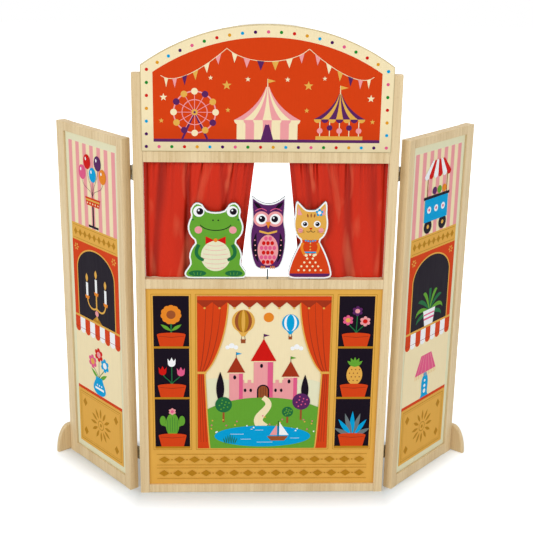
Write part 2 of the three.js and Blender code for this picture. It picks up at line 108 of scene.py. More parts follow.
# %% [markdown]
# The camera stands where the photograph was taken from: a little left of the middle, above the
# header, looking down. Its place and angles were found by fitting the frame's corners.

# %% Camera
CAMERA_AT = Vector((-0.06744, -1.76946, 1.02073))
CAMERA_YAW = 0.0397
CAMERA_PITCH = -0.3213
CAMERA_ROLL = 0.0153
SENSOR = 36.0
FOCAL_PIXELS = 1090.99
PHOTO_PIXELS = 533


def linked(name, data):
    """A new object with its data, in the scene."""
    piece = bpy.data.objects.new(name, data)
    bpy.context.scene.collection.objects.link(piece)
    return piece


camera_data = bpy.data.cameras.new("camera")
camera_data.sensor_width = SENSOR
camera_data.lens = FOCAL_PIXELS / PHOTO_PIXELS * SENSOR
camera = linked("camera", camera_data)
camera.matrix_world = (
    Matrix.Translation(CAMERA_AT)
    @ Matrix.Rotation(-CAMERA_YAW, 4, "Z")
    @ Matrix.Rotation(math.pi / 2 + CAMERA_PITCH, 4, "X")
    @ Matrix.Rotation(CAMERA_ROLL, 4, "Z"))
bpy.context.scene.camera = camera
bpy.context.scene.view_settings.view_transform = "Standard"
print("camera at:", tuple(CAMERA_AT))

# %% [markdown]
# Materials are node trees. Short helpers keep them readable: one adds a node, another fills or
# links its inputs, and the rest are the few kinds of nodes that come up again and again.

# %% Node helpers
def srgb(red, green, blue):
    """A colour written as 0 to 255, as a linear RGBA value."""
    parts = [channel / 255 for channel in (red, green, blue)]
    linear = [p / 12.92 if p <= 0.04045 else ((p + 0.055) / 1.055) ** 2.4 for p in parts]
    return (*linear, 1.0)


def fill(node, inputs):
    """Sets a node's inputs, and links those whose value is a socket."""
    for name, value in inputs.items():
        if isinstance(value, bpy.types.NodeSocket):
            node.id_data.links.new(value, node.inputs[name])
        else:
            node.inputs[name].default_value = value
    return node


def add(tree, kind, inputs=None, **settings):
    node = tree.nodes.new(kind)
    for name, value in settings.items():
        setattr(node, name, value)
    return fill(node, inputs or {})


def math_node(tree, operation, first, second=0.0, clamp=False):
    return add(tree, "ShaderNodeMath", {0: first, 1: second},
               operation=operation, use_clamp=clamp).outputs[0]


def plus(tree, first, second, clamp=False):
    return math_node(tree, "ADD", first, second, clamp)


def times(tree, first, second, clamp=False):
    return math_node(tree, "MULTIPLY", first, second, clamp)


def mix_colour(tree, factor, first, second, blend="MIX"):
    return add(tree, "ShaderNodeMix", {0: factor, 6: first, 7: second},
               data_type="RGBA", blend_type=blend).outputs[2]


def shaded(tree, colour, factors):
    """A colour multiplied by three factors."""
    return mix_colour(tree, 1.0, colour, (*factors, 1), "MULTIPLY")


def stretch(tree, value, low, high, to_low=0.0, to_high=1.0):
    return add(tree, "ShaderNodeMapRange", {
        "Value": value, "From Min": low, "From Max": high,
        "To Min": to_low, "To Max": to_high}).outputs[0]

# %% [markdown]
# An effect such as grain is built once, as a node group that gives a colour, a roughness and a
# height. A material puts the group in front of its shader, with values of its own.

# %% Groups and materials
def new_group(name, inputs):
    """A node group that gives a colour, a roughness and a height, and its two ends."""
    tree = bpy.data.node_groups.new(name, "ShaderNodeTree")
    for socket, value in inputs.items():
        kind = "NodeSocketFloat" if isinstance(value, float) else "NodeSocketColor"
        made = tree.interface.new_socket(socket, in_out="INPUT", socket_type=kind)
        made.default_value = value
    for socket, kind in (("Color", "Color"), ("Roughness", "Float"), ("Height", "Float")):
        tree.interface.new_socket(socket, in_out="OUTPUT", socket_type="NodeSocket" + kind)
    return tree, add(tree, "NodeGroupInput").outputs, add(tree, "NodeGroupOutput")


def new_material(name, colour, roughness=0.5, metallic=0.0):
    """A material with a Principled shader; colour is also what the viewport shows."""
    material = bpy.data.materials.new(name)
    material.use_nodes = True
    material.diffuse_color = colour
    shader = fill(material.node_tree.nodes["Principled BSDF"], {
        "Base Color": colour, "Roughness": roughness, "Metallic": metallic})
    return material, material.node_tree, shader


def group_material(name, colour, group, given, strength, distance, looks):
    """A material whose colour, roughness and relief come from a node group.

    The relief has a strength and a distance in metres, and looks are more of the shader's inputs.
    """
    material, tree, shader = new_material(name, colour)
    made = add(tree, "ShaderNodeGroup", given, node_tree=group).outputs
    relief = add(tree, "ShaderNodeBump", {
        "Strength": strength, "Distance": distance, "Height": made["Height"]})
    fill(shader, {"Base Color": made["Color"], "Roughness": made["Roughness"],
                  "Normal": relief.outputs[0], **looks})
    return material

# %% [markdown]
# The timber is pale and fine, with its grain upright on every member. Close to, it has three
# scales: slow bands of tone, growth lines a few millimetres apart, and short brown flecks. All
# three are one noise texture stretched along z, each at its own scale, on Object coordinates,
# so that the grain stays with a wing when it folds.

# %% Wood grain group
def stretched_noise(tree, across, along, detail=2.0, shift=0.0):
    """Noise whose spots are 1 / across wide and 1 / along tall, in metres."""
    place = add(tree, "ShaderNodeTexCoord").outputs["Object"]
    mapped = add(tree, "ShaderNodeMapping", {
        "Vector": place, "Location": (shift, shift, shift), "Scale": (across, across, along)})
    return add(tree, "ShaderNodeTexNoise", {
        "Vector": mapped.outputs[0], "Scale": 1.0, "Detail": detail,
        "Roughness": 0.55}).outputs["Fac"]


def wood_grain_group():
    tree, given, result = new_group("wood_grain", {
        "Light": (0.8, 0.6, 0.4, 1), "Dark": (0.6, 0.4, 0.2, 1), "Fleck": (0.4, 0.2, 0.1, 1),
        "Contrast": 1.0})
    bands = stretch(tree, stretched_noise(tree, 34, 1.6), 0.3, 0.7)
    lines = stretch(tree, stretched_noise(tree, 300, 6, 3.0, 3.1), 0.36, 0.66)
    hairs = stretch(tree, stretched_noise(tree, 1100, 30, 2.0, 7.7), 0.35, 0.7)
    flecks = stretch(tree, stretched_noise(tree, 1500, 170, 1.0, 5.3), 0.66, 0.72)
    tone = plus(tree, times(tree, bands, 0.52), times(tree, lines, 0.46))
    tone = plus(tree, tone, times(tree, hairs, 0.2))
    tone = times(tree, tone, given["Contrast"], clamp=True)
    colour = mix_colour(tree, tone, given["Light"], given["Dark"])
    colour = mix_colour(tree, times(tree, flecks, 0.36), colour, given["Fleck"])
    fill(result, {
        "Color": colour, "Roughness": stretch(tree, hairs, 0, 1, 0.42, 0.6),
        "Height": times(tree, plus(tree, lines, times(tree, flecks, 0.8)), -1.0)})
    return tree


WOOD_GRAIN = wood_grain_group()


def grain_material(name, light, dark, fleck, contrast=1.0):
    light, dark, fleck = (srgb(*rgb) for rgb in (light, dark, fleck))
    return group_material(
        name, light, WOOD_GRAIN,
        {"Light": light, "Dark": dark, "Fleck": fleck, "Contrast": contrast},
        strength=0.6, distance=0.00012,
        looks={"Specular IOR Level": 0.25, "Coat Weight": 0.06, "Coat Roughness": 0.35})


TIMBER = grain_material("pale_timber", (244, 220, 176), (218, 188, 140), (178, 138, 90))
PLY_EDGE = grain_material(
    "board_edge", (222, 205, 160), (198, 175, 126), (160, 128, 84), 0.8)
BOARD_BACK = grain_material(
    "board_back", (222, 190, 140), (196, 158, 106), (150, 108, 66), 1.1)
STICK_WOOD = grain_material("stick_wood", (214, 180, 130), (186, 146, 96), (140, 100, 60))
print("timbers:", [m.name for m in (TIMBER, PLY_EDGE, BOARD_BACK, STICK_WOOD)])

# %% [markdown]
# Printing ink on a board isn't quite flat: the board's grain shows through as faint lines, and
# the ink lies a little unevenly. One group adds both to any ink, and each ink is a material. The
# header's two main colours also get painted shade towards its foot, from a mask on the height.

# %% Ink group and inks
HEADER_FOOT = 0.633
HEADER_PAINTED_SHADE = 0.55


def printed_ink_group():
    tree, given, result = new_group("printed_ink", {"Ink": (0.5, 0.5, 0.5, 1), "Painted_Foot_Shade": 0.0})
    darker = shaded(tree, given["Ink"], (0.72, 0.70, 0.68))
    height = add(tree, "ShaderNodeSeparateXYZ", {
        0: add(tree, "ShaderNodeTexCoord").outputs["Object"]}).outputs["Z"]
    # Painted shade: the ink darkens over the lowest 50 mm of the header.
    foot = stretch(tree, height, HEADER_FOOT, HEADER_FOOT + 0.05, 1.0, 0.0)
    foot = times(tree, foot, given["Painted_Foot_Shade"], clamp=True)
    mottle = stretch(tree, stretched_noise(tree, 60, 60, 4.0, 1.3), 0.3, 0.7, 0.0, 0.07)
    grain = stretch(tree, stretched_noise(tree, 700, 22, 2.0, 4.4), 0.4, 0.7)
    colour = mix_colour(tree, mottle, given["Ink"], darker)
    colour = mix_colour(tree, foot, colour, darker)
    colour = mix_colour(tree, times(tree, grain, 0.10), colour, darker)
    fill(result, {"Color": colour, "Roughness": stretch(tree, grain, 0, 1, 0.52, 0.66),
                  "Height": times(tree, grain, -1.0)})
    return tree


PRINTED_INK = printed_ink_group()


def ink_material(name, *rgb, foot=0.0):
    colour = srgb(*rgb)
    return group_material(
        "ink_" + name, colour, PRINTED_INK, {"Ink": colour, "Painted_Foot_Shade": foot},
        strength=0.25, distance=0.00005, looks={"Specular IOR Level": 0.06})


INKS = {name: ink_material(name, *rgb) for name, rgb in {
    "cream": (254, 235, 190), "pale": (240, 236, 200), "amber": (236, 178, 80),
    "ochre": (190, 132, 30), "red": (221, 68, 22), "deep_red": (168, 53, 26),
    "scarlet": (214, 24, 18), "pink": (246, 163, 165), "rose": (234, 96, 140),
    "purple": (92, 38, 96), "black": (20, 10, 24), "white": (255, 255, 255),
    "blue": (0, 165, 222), "green": (104, 168, 52), "deep_green": (34, 110, 62),
    "brown": (160, 84, 44), "grey": (112, 122, 124), "orange": (240, 140, 40),
    "gold": (230, 158, 32), "emerald": (30, 140, 46), "violet": (72, 14, 90),
}.items()}
# The header's cream and red carry painted shade towards the header's foot.
INKS["header_cream"] = ink_material("header_cream", 254, 235, 190, foot=HEADER_PAINTED_SHADE)
INKS["header_red"] = ink_material("header_red", 221, 66, 16, foot=HEADER_PAINTED_SHADE)
INKS["stick_paint"] = ink_material("stick_paint", 92, 102, 98)
print("inks:", len(INKS))

# %% [markdown]
# Small hinges are yellow-plated steel and the screws bright zinc. A fine stretched noise in the
# roughness gives the drawn look of sheet metal.

# %% Metals
def metal_material(name, colour, roughness):
    material, tree, shader = new_material(name, colour, roughness, 1.0)
    drawn = stretched_noise(tree, 400, 3000)
    rough = stretch(tree, drawn, 0.3, 0.7, roughness - 0.08, roughness + 0.12)
    dull = tuple(0.6 * channel for channel in colour[:3])
    fill(shader, {"Roughness": rough, "Base Color": mix_colour(
        tree, stretch(tree, drawn, 0.3, 0.7, 0.0, 0.25), colour, (*dull, 1.0))})
    return material


HINGE_METAL = metal_material("hinge_plating", srgb(158, 146, 116), 0.42)
SCREW_METAL = metal_material("screw_zinc", srgb(200, 200, 196), 0.3)
print("metals:", HINGE_METAL.name, SCREW_METAL.name)

# %% [markdown]
# Each CAD node keeps its shape and only its material changes, through its material slots. The
# board nodes carry the prints: what shows of them is their edge and back.

# %% Materials of the CAD nodes
def dress(node, material):
    for slot in frame["nodes"][node].material_slots:
        slot.material = material


LOOKS = {
    "wood": TIMBER, "stick_wood": STICK_WOOD, "header_print": PLY_EDGE,
    "picture_print": BOARD_BACK, "puppet_print": INKS["white"],
    "stick_paint": INKS["stick_paint"], "hinge_metal": HINGE_METAL, "screw_metal": SCREW_METAL,
}
for part in frame["record"]["subparts"]:
    if part["material_slot"] in LOOKS:
        dress(part["node"], LOOKS[part["material_slot"]])
print("dressed nodes:", len(frame["nodes"]))

# %% [markdown]
# The shapes of a print come from a few kinds of points: round a circle or an ellipse, along an
# arc, or on a cubic curve between two ends.

# %% Curves
def on_circle(centre, radius, degrees, tall=1.0):
    """A point on a circle or an ellipse, with its angle from +x towards +z."""
    turn = math.radians(degrees)
    return centre[0] + radius * math.cos(turn), centre[1] + radius * tall * math.sin(turn)


def arc(centre, radius, start, end, steps=12, tall=1.0):
    return [on_circle(centre, radius, start + (end - start) * i / steps, tall)
            for i in range(steps + 1)]


def bezier(first, pull_a, pull_b, last, steps=12):
    """Points on a cubic curve between two ends."""
    points = []
    for i in range(steps + 1):
        t = i / steps
        weights = ((1 - t) ** 3, 3 * t * (1 - t) ** 2, 3 * t * t * (1 - t), t ** 3)
        ends = (first, pull_a, pull_b, last)
        points.append(tuple(sum(w * p[k] for w, p in zip(weights, ends)) for k in (0, 1)))
    return points


def mirrored(points):
    return [(-x, z) for x, z in points]

# %% [markdown]
# A print is built like a paper collage: flat shapes of ink, each layer a few hundredths of a
# millimetre in front of the one below. A class keeps the growing mesh, the inks it uses and the
# layer it is on. Shapes are in millimetres in the panel's plane, from the pen's own zero. A
# figure is drawn round its foot, with the zero put where it stands and a scale for its size.

# %% Flat prints
LAYER = 0.03
SHAPE_STEPS = 14
SHAPE_STEP = 0.002
LEAF_END = 0.02
FACING_FRONT = Matrix.Rotation(math.pi / 2, 4, "X")


def mesh_object(name, mesh, materials):
    """Turns a mesh that has been worked on into an object in the scene."""
    data = bpy.data.meshes.new(name)
    mesh.to_mesh(data)
    mesh.free()
    for material in materials:
        data.materials.append(material)
    return linked(name, data)


class Print:
    """A flat print on a board: layers of ink shapes, each in front of the last."""

    def __init__(self, name, panel, front):
        self.name, self.panel, self.front = name, panel, front
        self.mesh = bmesh.new()
        self.inks = []
        self.layer = 1
        self.shapes = 0
        self.place()

    def place(self, x=0.0, z=0.0, scale=1.0):
        """Puts the pen's zero at a point. Shapes that follow are drawn from there, to scale."""
        self.x, self.z, self.scale = x, z, scale

    def next(self):
        self.layer += 1

    def depth(self):
        """The layer's depth and a hair more for each shape, so that no two share a plane."""
        self.shapes += 1
        return self.front - self.layer * LAYER - self.shapes % SHAPE_STEPS * SHAPE_STEP

    def at(self, x, z, depth):
        return self.x + self.scale * x, depth, self.z + self.scale * z

    def colour(self, faces, ink):
        if ink not in self.inks:
            self.inks.append(ink)
        for face in faces:
            face.material_index = self.inks.index(ink)
            face.normal_update()
            if face.normal.y > 0:
                face.normal_flip()

    def patch(self, points, ink):
        depth = self.depth()
        corners = [self.mesh.verts.new(self.at(x, z, depth)) for x, z in points]
        self.colour([self.mesh.faces.new(corners)], ink)

    def box(self, x0, x1, z0, z1, ink):
        self.patch([(x0, z0), (x1, z0), (x1, z1), (x0, z1)], ink)

    def disc(self, centre, radius, ink, tall=1.0, sides=24):
        made = bmesh.ops.create_circle(
            self.mesh, cap_ends=True, segments=sides, radius=radius * self.scale,
            matrix=Matrix.Translation(self.at(*centre, self.depth()))
            @ FACING_FRONT @ Matrix.Diagonal((1.0, tall, 1.0, 1.0)))
        self.colour({face for vertex in made["verts"] for face in vertex.link_faces}, ink)

    def line(self, path, width, ink, end_width=None, swell=0.0):
        """A stroke along a path, its width going from one value to the other."""
        last = len(path) - 1
        depth = self.depth()
        left, right = [], []
        for i, (x, z) in enumerate(path):
            ahead, behind = path[min(i + 1, last)], path[max(i - 1, 0)]
            along = Vector((ahead[0] - behind[0], ahead[1] - behind[1])).normalized()
            share = i / last
            half = (width + ((width if end_width is None else end_width) - width) * share
                    + swell * math.sin(math.pi * share)) / 2
            for edge, way in ((left, half), (right, -half)):
                edge.append(self.mesh.verts.new(
                    self.at(x - along.y * way, z + along.x * way, depth)))
        self.colour([self.mesh.faces.new((left[i], right[i], right[i + 1], left[i + 1]))
                     for i in range(last)], ink)

    def leaf(self, base, tip, width, ink, steps=8):
        """A pointed leaf between two points."""
        path = [(base[0] + (tip[0] - base[0]) * i / steps,
                 base[1] + (tip[1] - base[1]) * i / steps) for i in range(steps + 1)]
        self.line(path, LEAF_END / self.scale, ink, swell=width)

    def finish(self):
        """Makes the print's object and puts it in its panel's place."""
        bmesh.ops.triangulate(self.mesh, faces=self.mesh.faces[:], ngon_method="EAR_CLIP")
        bmesh.ops.transform(
            self.mesh, matrix=PANELS[self.panel] @ Matrix.Scale(MM, 4), verts=self.mesh.verts[:])
        print(self.name, "layers:", self.layer, "faces:", len(self.mesh.faces))
        return mesh_object(self.name, self.mesh, [INKS[ink] for ink in self.inks])

# %% [markdown]
# The header: a cream border with a row of coloured dots, round a red field. The field's top
# follows the board's arch. Dots like the lamps of a marquee are common fairground ornament, so
# six inks simply take turns.

# %% Header print: border, field and dots
HEADER_LOW, HEADER_HIGH = flat_box("header_board", "centre")
HEADER_HALF = 205.3
HEADER_SHOULDER = 140.2
ARCH_RISE = HEADER_HIGH.z - HEADER_LOW.z - HEADER_SHOULDER
ARCH_RADIUS = (HEADER_HALF ** 2 + ARCH_RISE ** 2) / (2 * ARCH_RISE)
ARCH_MIDDLE = HEADER_HIGH.z - ARCH_RADIUS
PRINT_EDGE = 1.5
FIELD_INSET = 20.2
FIELD_HALF = HEADER_HALF - FIELD_INSET
FIELD_LOW = HEADER_LOW.z + 16.2


def arched(inset, low):
    """The header's outline, drawn in from its sides and its arch, from a height upwards."""
    side, radius = HEADER_HALF - inset, ARCH_RADIUS - inset
    end = math.degrees(math.acos(side / radius))
    return [(-side, low), (side, low)] + arc((0, ARCH_MIDDLE), radius, end, 180 - end, 36)


header = Print("header_print", "centre", HEADER_LOW.y)
header.patch(arched(PRINT_EDGE, HEADER_LOW.z + PRINT_EDGE), "header_cream")
header.next()
header.patch(arched(FIELD_INSET, FIELD_LOW), "header_red")

DOT_RADIUS = 2.7
DOT_INKS = ("scarlet", "gold", "blue", "violet", "rose", "emerald")
DOT_LOW_SIDE, DOT_TOP_SIDE = 197.0, 194.4
DOT_LOW = HEADER_LOW.z + 8.2
DOT_ARCH = ARCH_RADIUS - 11.8
dot_end = math.degrees(math.acos(DOT_TOP_SIDE / DOT_ARCH))
dots = arc((0, ARCH_MIDDLE), DOT_ARCH, 180 - dot_end, dot_end, 20)
dots += [(-DOT_LOW_SIDE + 2 * DOT_LOW_SIDE * i / 19, DOT_LOW) for i in range(20)]
for side in (-1, 1):
    for share in (i / 6 for i in range(1, 6)):
        dots.append((side * (DOT_TOP_SIDE + (DOT_LOW_SIDE - DOT_TOP_SIDE) * share),
                     dots[0][1] + (DOT_LOW - dots[0][1]) * share))
for i, place in enumerate(dots):
    header.disc(place, DOT_RADIUS, DOT_INKS[i % len(DOT_INKS)], sides=16)
print("dots:", len(dots))

# %% [markdown]
# In the field stands a small fair: a big wheel, a striped tent and a merry-go-round. The tent
# and the merry-go-round share one kind of roof, whose stripes are the spaces between curves
# that run from the eaves to the mast.

# %% Header print: tent, wheel and merry-go-round
FAIR_FLOOR = 654.0
ROOF_STRIPES = 7
WALL_SHARE = 0.92


def stripes(art, x0, x1, z0, z1, count, inks):
    """Upright stripes in two inks by turns."""
    for k in range(count):
        a, b = (x0 + (x1 - x0) * i / count for i in (k, k + 1))
        art.box(a, b, z0, z1, inks[k % 2])


def striped_roof(art, eave, half, peak, inks):
    """A round roof in stripes, with scallops below the eaves and a flag on its mast."""
    def rib(share):
        return bezier((share * half, eave), (share * half * 0.58, eave + peak * 0.2),
                      (share * half * 0.2, eave + peak * 0.55),
                      (share * half * 0.05, eave + peak), 10)

    for k in range(ROOF_STRIPES):
        low, high = (2 * i / ROOF_STRIPES - 1 for i in (k, k + 1))
        art.patch(rib(low) + rib(high)[::-1], inks[k % 2])
        art.patch(arc((half * (low + high) / 2, eave), half / ROOF_STRIPES, 0, -180, 10),
                  inks[1 - k % 2])
    tip = eave + peak
    art.line([(0, tip - 1), (0, tip + 13)], 1.4, "cream")
    art.patch([(0, tip + 13), (13, tip + 9.5), (0, tip + 6)], "amber")
    art.next()


def big_top(art, half=54, wall=32, peak=54):
    """A striped tent with an open door."""
    stripes(art, -half * WALL_SHARE, half * WALL_SHARE, 0, wall, ROOF_STRIPES, ("cream", "pink"))
    art.next()
    art.patch([(-10, 0), (10, 0), (1, wall), (-1, wall)], "purple")
    art.next()
    striped_roof(art, wall, half, peak, ("pink", "cream"))


def merry_go_round(art, half=42, wall=34, peak=42):
    """Poles with balls, between a round base and a striped roof."""
    art.box(-half * WALL_SHARE, half * WALL_SHARE, 0, 6, "amber")
    poles = [half * 0.38 * k for k in range(-2, 3)]
    for x in poles:
        art.line([(x, 6), (x, wall)], 1.4, "cream")
    art.next()
    for k, x in enumerate(poles):
        art.disc((x, 15 + 5 * (k % 2)), 4.6, ("pink", "purple")[k % 2], sides=18)
    striped_roof(art, wall, half, peak, ("purple", "amber"))


def big_wheel(art, radius=34):
    """A wheel with twelve cabins on its rim, on two legs."""
    hub = (0, radius + 10)
    for side in (-1, 1):
        art.line([hub, (side * radius * 0.6, 0)], 3.4, "purple")
    art.next()
    for share, width in ((1.0, 2.2), (0.6, 1.4)):
        art.line(arc(hub, radius * share, 0, 360, 48), width, "pink")
    rim = arc(hub, radius, 0, 330, 11)
    for cabin in rim:
        art.line([hub, cabin], 1.0, "pink")
    art.next()
    for i, cabin in enumerate(rim):
        art.disc(cabin, 5.4, ("cream", "amber", "purple")[i % 3], sides=18)
    art.disc(hub, 5.0, "amber", sides=20)
    art.next()
    art.disc(hub, 2.0, "purple", sides=12)


header.next()
header.box(-FIELD_HALF, FIELD_HALF, FIELD_LOW, FAIR_FLOOR, "purple")
for draw, x in ((big_wheel, -118), (merry_go_round, 118), (big_top, 0)):
    header.place(x, FAIR_FLOOR)
    draw(header)
header.place()
print("fair: layer", header.layer, "shapes", header.shapes)

# %% [markdown]
# Three strings of pennants hang below the arch, and stars fill the sky between them and the
# roofs. A pennant is a triangle under every second piece of its string.

# %% Header print: pennants and stars
PENNANT_INKS = ("cream", "pink", "purple", "amber")
PENNANT_DROP = 15.0
STARS = ((66, 742, 8.0), (168, 722, 6.5), (172, 684, 4.4), (32, 752, 4.4), (64, 702, 4.4),
         (92, 754, 4.0))


def star(art, centre, size, ink):
    art.patch([on_circle(centre, size * (0.42 if i % 2 else 1.0), 90 + i * 36)
               for i in range(10)], ink)


side_string = bezier((-172, 757), (-150, 740), (-104, 768), (-66, 801), 13)
for string in (side_string, mirrored(side_string),
               bezier((-66, 801), (-36, 774), (36, 774), (66, 801), 13)):
    header.line(string, 1.0, "cream")
    for i in range(1, len(string) - 1, 2):
        (x0, z0), (x1, z1) = string[i], string[i + 1]
        header.patch([(x0, z0), (x1, z1), ((x0 + x1) / 2, (z0 + z1) / 2 - PENNANT_DROP)],
                     PENNANT_INKS[i // 2 % len(PENNANT_INKS)])
header.next()
for i, (x, z, size) in enumerate(STARS):
    for side in (-1, 1):
        star(header, (side * x, z), size, "cream" if i % 2 else "amber")
header_piece = header.finish()
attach(header_piece, BODIES["centre"])

# %% [markdown]
# Frames, rows of lozenges, flowers and drapes turn up on the prints below, so each has its own
# small function. The drape is a piece of drawn cloth with a gold edge: straight on its outer
# side, and pulled in by a tie on its inner side.

# %% Shared motifs
def frame_line(art, x0, x1, z0, z1, inset, width, ink):
    """A rectangle's outline, drawn in by an inset."""
    x0, x1, z0, z1 = x0 + inset, x1 - inset, z0 + inset, z1 - inset
    path = [(x0, z0), (x1, z0), (x1, z1), (x0, z1)]
    for i, start in enumerate(path):
        art.line([start, path[(i + 1) % 4]], width, ink)


def diamond(art, x, z, half, tall, ink):
    art.patch([(x - half, z), (x, z + tall), (x + half, z), (x, z - tall)], ink)


def lozenges(art, x0, x1, z0, z1, count, ink):
    """A row of lozenges between two lines, with a dot between each two."""
    middle, step = (z0 + z1) / 2, (x1 - x0) / count
    for z in (z0, z1):
        art.line([(x0, z), (x1, z)], 0.9, ink)
    for k in range(count):
        x = x0 + step * (k + 0.5)
        diamond(art, x, middle, step * 0.36, (z1 - z0) * 0.3, ink)
        if k:
            art.disc((x - step / 2, middle), 1.3, ink, sides=10)


def flower(art, centre, size, petals, heart, count=6):
    """Round petals about a heart, which is on the next layer."""
    for i in range(count):
        art.disc(on_circle(centre, size * 0.62, 360 * i / count + 90), size * 0.33, petals,
                 sides=12)
    return centre, size * 0.42, heart


def hearts(art, blooms):
    art.next()
    for centre, radius, ink in blooms:
        art.disc(centre, radius, ink, sides=14)


def drape(art, outer, inner, top, bottom, tie):
    """Drawn cloth from outer to inner at the top, gathered at the height tie."""
    across = inner - outer
    waist = outer + across * 0.24
    edge = bezier((inner, top), (inner, top - (top - tie) * 0.5),
                  (waist + across * 0.3, tie + 12), (waist, tie))
    edge += bezier((waist, tie), (waist, tie - 8), (waist + across * 0.12, bottom + 6),
                   (waist + across * 0.16, bottom), 6)[1:]
    art.patch([(outer, top)] + edge + [(outer, bottom)], "red")
    art.next()
    for share in (0.28, 0.52, 0.76):
        fold = [(outer + (x - outer) * share, z) for x, z in edge if z > bottom + 2]
        art.line(fold, 0.5, "deep_red", end_width=0.9, swell=0.9)
    art.line(edge, 2.4, "amber")
    art.next()
    low, high = sorted((outer, waist + across * 0.05))
    art.box(low, high, tie - 2.2, tie + 2.2, "amber")

# %% [markdown]
# The lower board is a painted cabinet. Its middle is a tall window on a castle above a lake, on
# each side a dark case holds three plants on shelves, and an amber plinth runs below them. Its
# colours and the size of its shapes keep to those of the real board.

# %% Lower board: ground and openings
left, right, bottom, top = LOWER
VIEW = (-116.0, 116.0, 88.0, top - 14)
CASES = ((left + 12, VIEW[0] - 14), (VIEW[1] + 14, right - 12))
print("view:", [round(v, 1) for v in VIEW], "cases:", [round(v, 1) for v in sum(CASES, ())])

board = Print("lower_board_print", "centre", flat_box("lower_picture_board", "centre")[0].y)
board.box(left, right, bottom, top, "amber")
board.next()
for (x0, x1), ink in zip((VIEW[:2], *CASES), ("cream", "black", "black")):
    board.box(x0, x1, VIEW[2], VIEW[3], ink)
    frame_line(board, x0, x1, VIEW[2], VIEW[3], -3, 0.9, "ochre")
board.next()
board.disc((8, 340), 9, "orange", sides=28)
board.patch([(VIEW[0], 150), (VIEW[1], 150), (VIEW[1], 206)]
            + bezier((VIEW[1], 206), (80, 240), (40, 212), (0, 212))
            + bezier((0, 212), (-50, 208), (-80, 244), (VIEW[0], 212))[1:], "pale")
for x, z in ((-56, 284), (58, 282)):
    for dx, dz, size in ((-7.5, 0, 3.75), (0, 3, 5), (7.5, 0, 4)):
        board.disc((x + dx, z + dz), size, "white", sides=18)
        board.next()

# %% [markdown]
# Scenery pieces are drawn from the back to the front. Each balloon is a stack of ever narrower
# ellipses, which gives its gores, and each tower is a box with a cone for a roof.

# %% Lower board: scenery pieces
def balloon(art, inks):
    """A hot-air balloon of radius 1 with its basket."""
    art.patch([(-0.55, -0.8), (0.55, -0.8), (0.14, -1.42), (-0.14, -1.42)], inks[0])
    art.disc((0, 0), 1, inks[0], tall=1.06, sides=36)
    for k, share in enumerate((0.74, 0.46, 0.16), 1):
        art.next()
        art.disc((0, 0), share, inks[k % len(inks)], tall=1.04 / share, sides=30)
    art.next()
    for side in (-1, 1):
        art.line([(side * 0.13, -1.4), (side * 0.16, -1.75)], 0.8 / art.scale, "black")
    art.box(-0.2, 0.2, -2.06, -1.72, "brown")
    art.box(-0.24, 0.24, -1.76, -1.7, "deep_red")


def tower(art, x, width, high, roof, flag):
    """A shaded wall with a window, under a pointed roof with a flag."""
    half, tip = width / 2, high + width * 1.25
    art.box(x - half, x + half, 0, high, "pink")
    art.next()
    art.box(x + width * 0.22, x + half, 0, high, "rose")
    art.patch([(x - width * 0.66, high), (x + width * 0.66, high), (x, tip)], roof)
    art.line([(x, tip - 1), (x, tip + 9)], 0.9, "black")
    art.patch([(x + 0.4, tip + 9), (x + 10, tip + 6), (x + 0.4, tip + 3.4)], flag)
    art.next()
    art.disc((x - width * 0.1, high - 9), 2.7, "black", tall=1.5, sides=16)
    art.box(x - half, x + half, high - 1.6, high, "cream")


def castle(art):
    """A wall with battlements between two towers, and a taller tower with the gate."""
    art.box(-52, 52, 0, 36, "pink")
    art.next()
    for i in range(9):
        art.box(-52 + i * 12.25, -46 + i * 12.25, 36, 42, "pink")
    tower(art, -48, 24, 56, "deep_red", "blue")
    tower(art, 48, 24, 48, "deep_red", "green")
    tower(art, 0, 34, 78, "scarlet", "purple")
    art.next()
    art.patch([(-11, 0), (11, 0)] + arc((0, 22), 11, 0, 180, 14), "black")
    art.next()
    art.patch([(-8.4, 0), (8.4, 0)] + arc((0, 22), 8.4, 0, 180), "brown")
    for side in (-1, 1):
        for x in (22, 32):
            art.disc((side * x, 22), 2.3, "black", tall=1.5, sides=14)
    art.next()
    for x in (-4, 0, 4):
        art.line([(x, 0), (x, 28)], 0.6, "black")


def round_tree(art, x, low, height, radius, crown, spots):
    """A trunk and a round crown, with spots along a spiral."""
    art.line([(x, low), (x, low + height - radius * 0.4)], 3.6, "brown")
    art.disc((x, low + height), radius, crown, sides=28)
    art.next()
    for k in range(9):
        turn, reach = 2.4 * k, radius * 0.24 * math.sqrt(k + 0.4)
        art.disc((x + reach * math.cos(turn), low + height + reach * math.sin(turn)), 1.4,
                 spots, sides=8)

# %% [markdown]
# The castle stands on a green hill. A path winds down from its gate to a lake with a sailing
# boat, and the hill carries trees and small flowers.

# %% Lower board: castle, hill and lake
for x, z, radius, inks in ((-36, 333, 20, ("amber", "brown", "ochre")),
                           (46, 330, 15, ("blue", "white", "blue"))):
    board.place(x, z, radius)
    balloon(board, inks)
board.place(0, 180)
castle(board)
board.place()
board.next()
for x, height, width in ((-76, 66, 14), (74, 60, 13)):
    board.leaf((x, 172), (x, 172 + height), width, "black", steps=12)
board.patch([(VIEW[0], VIEW[2]), (VIEW[1], VIEW[2]), (VIEW[1], 160)]
            + bezier((VIEW[1], 160), (74, 184), (34, 188), (0, 188))
            + bezier((0, 188), (-34, 188), (-78, 182), (VIEW[0], 154))[1:], "green")
board.next()
board.line(bezier((0, 188), (34, 166), (-34, 152), (4, 128), 20), 9, "cream", end_width=18)
for tree in ((-70, 140, 34, 15, "deep_green", "green"), (68, 144, 36, 16, "purple", "rose"),
             (44, 138, 22, 10, "deep_green", "green")):
    round_tree(board, *tree)
board.next()
board.disc((0, 112), 86, "blue", tall=0.24, sides=64)
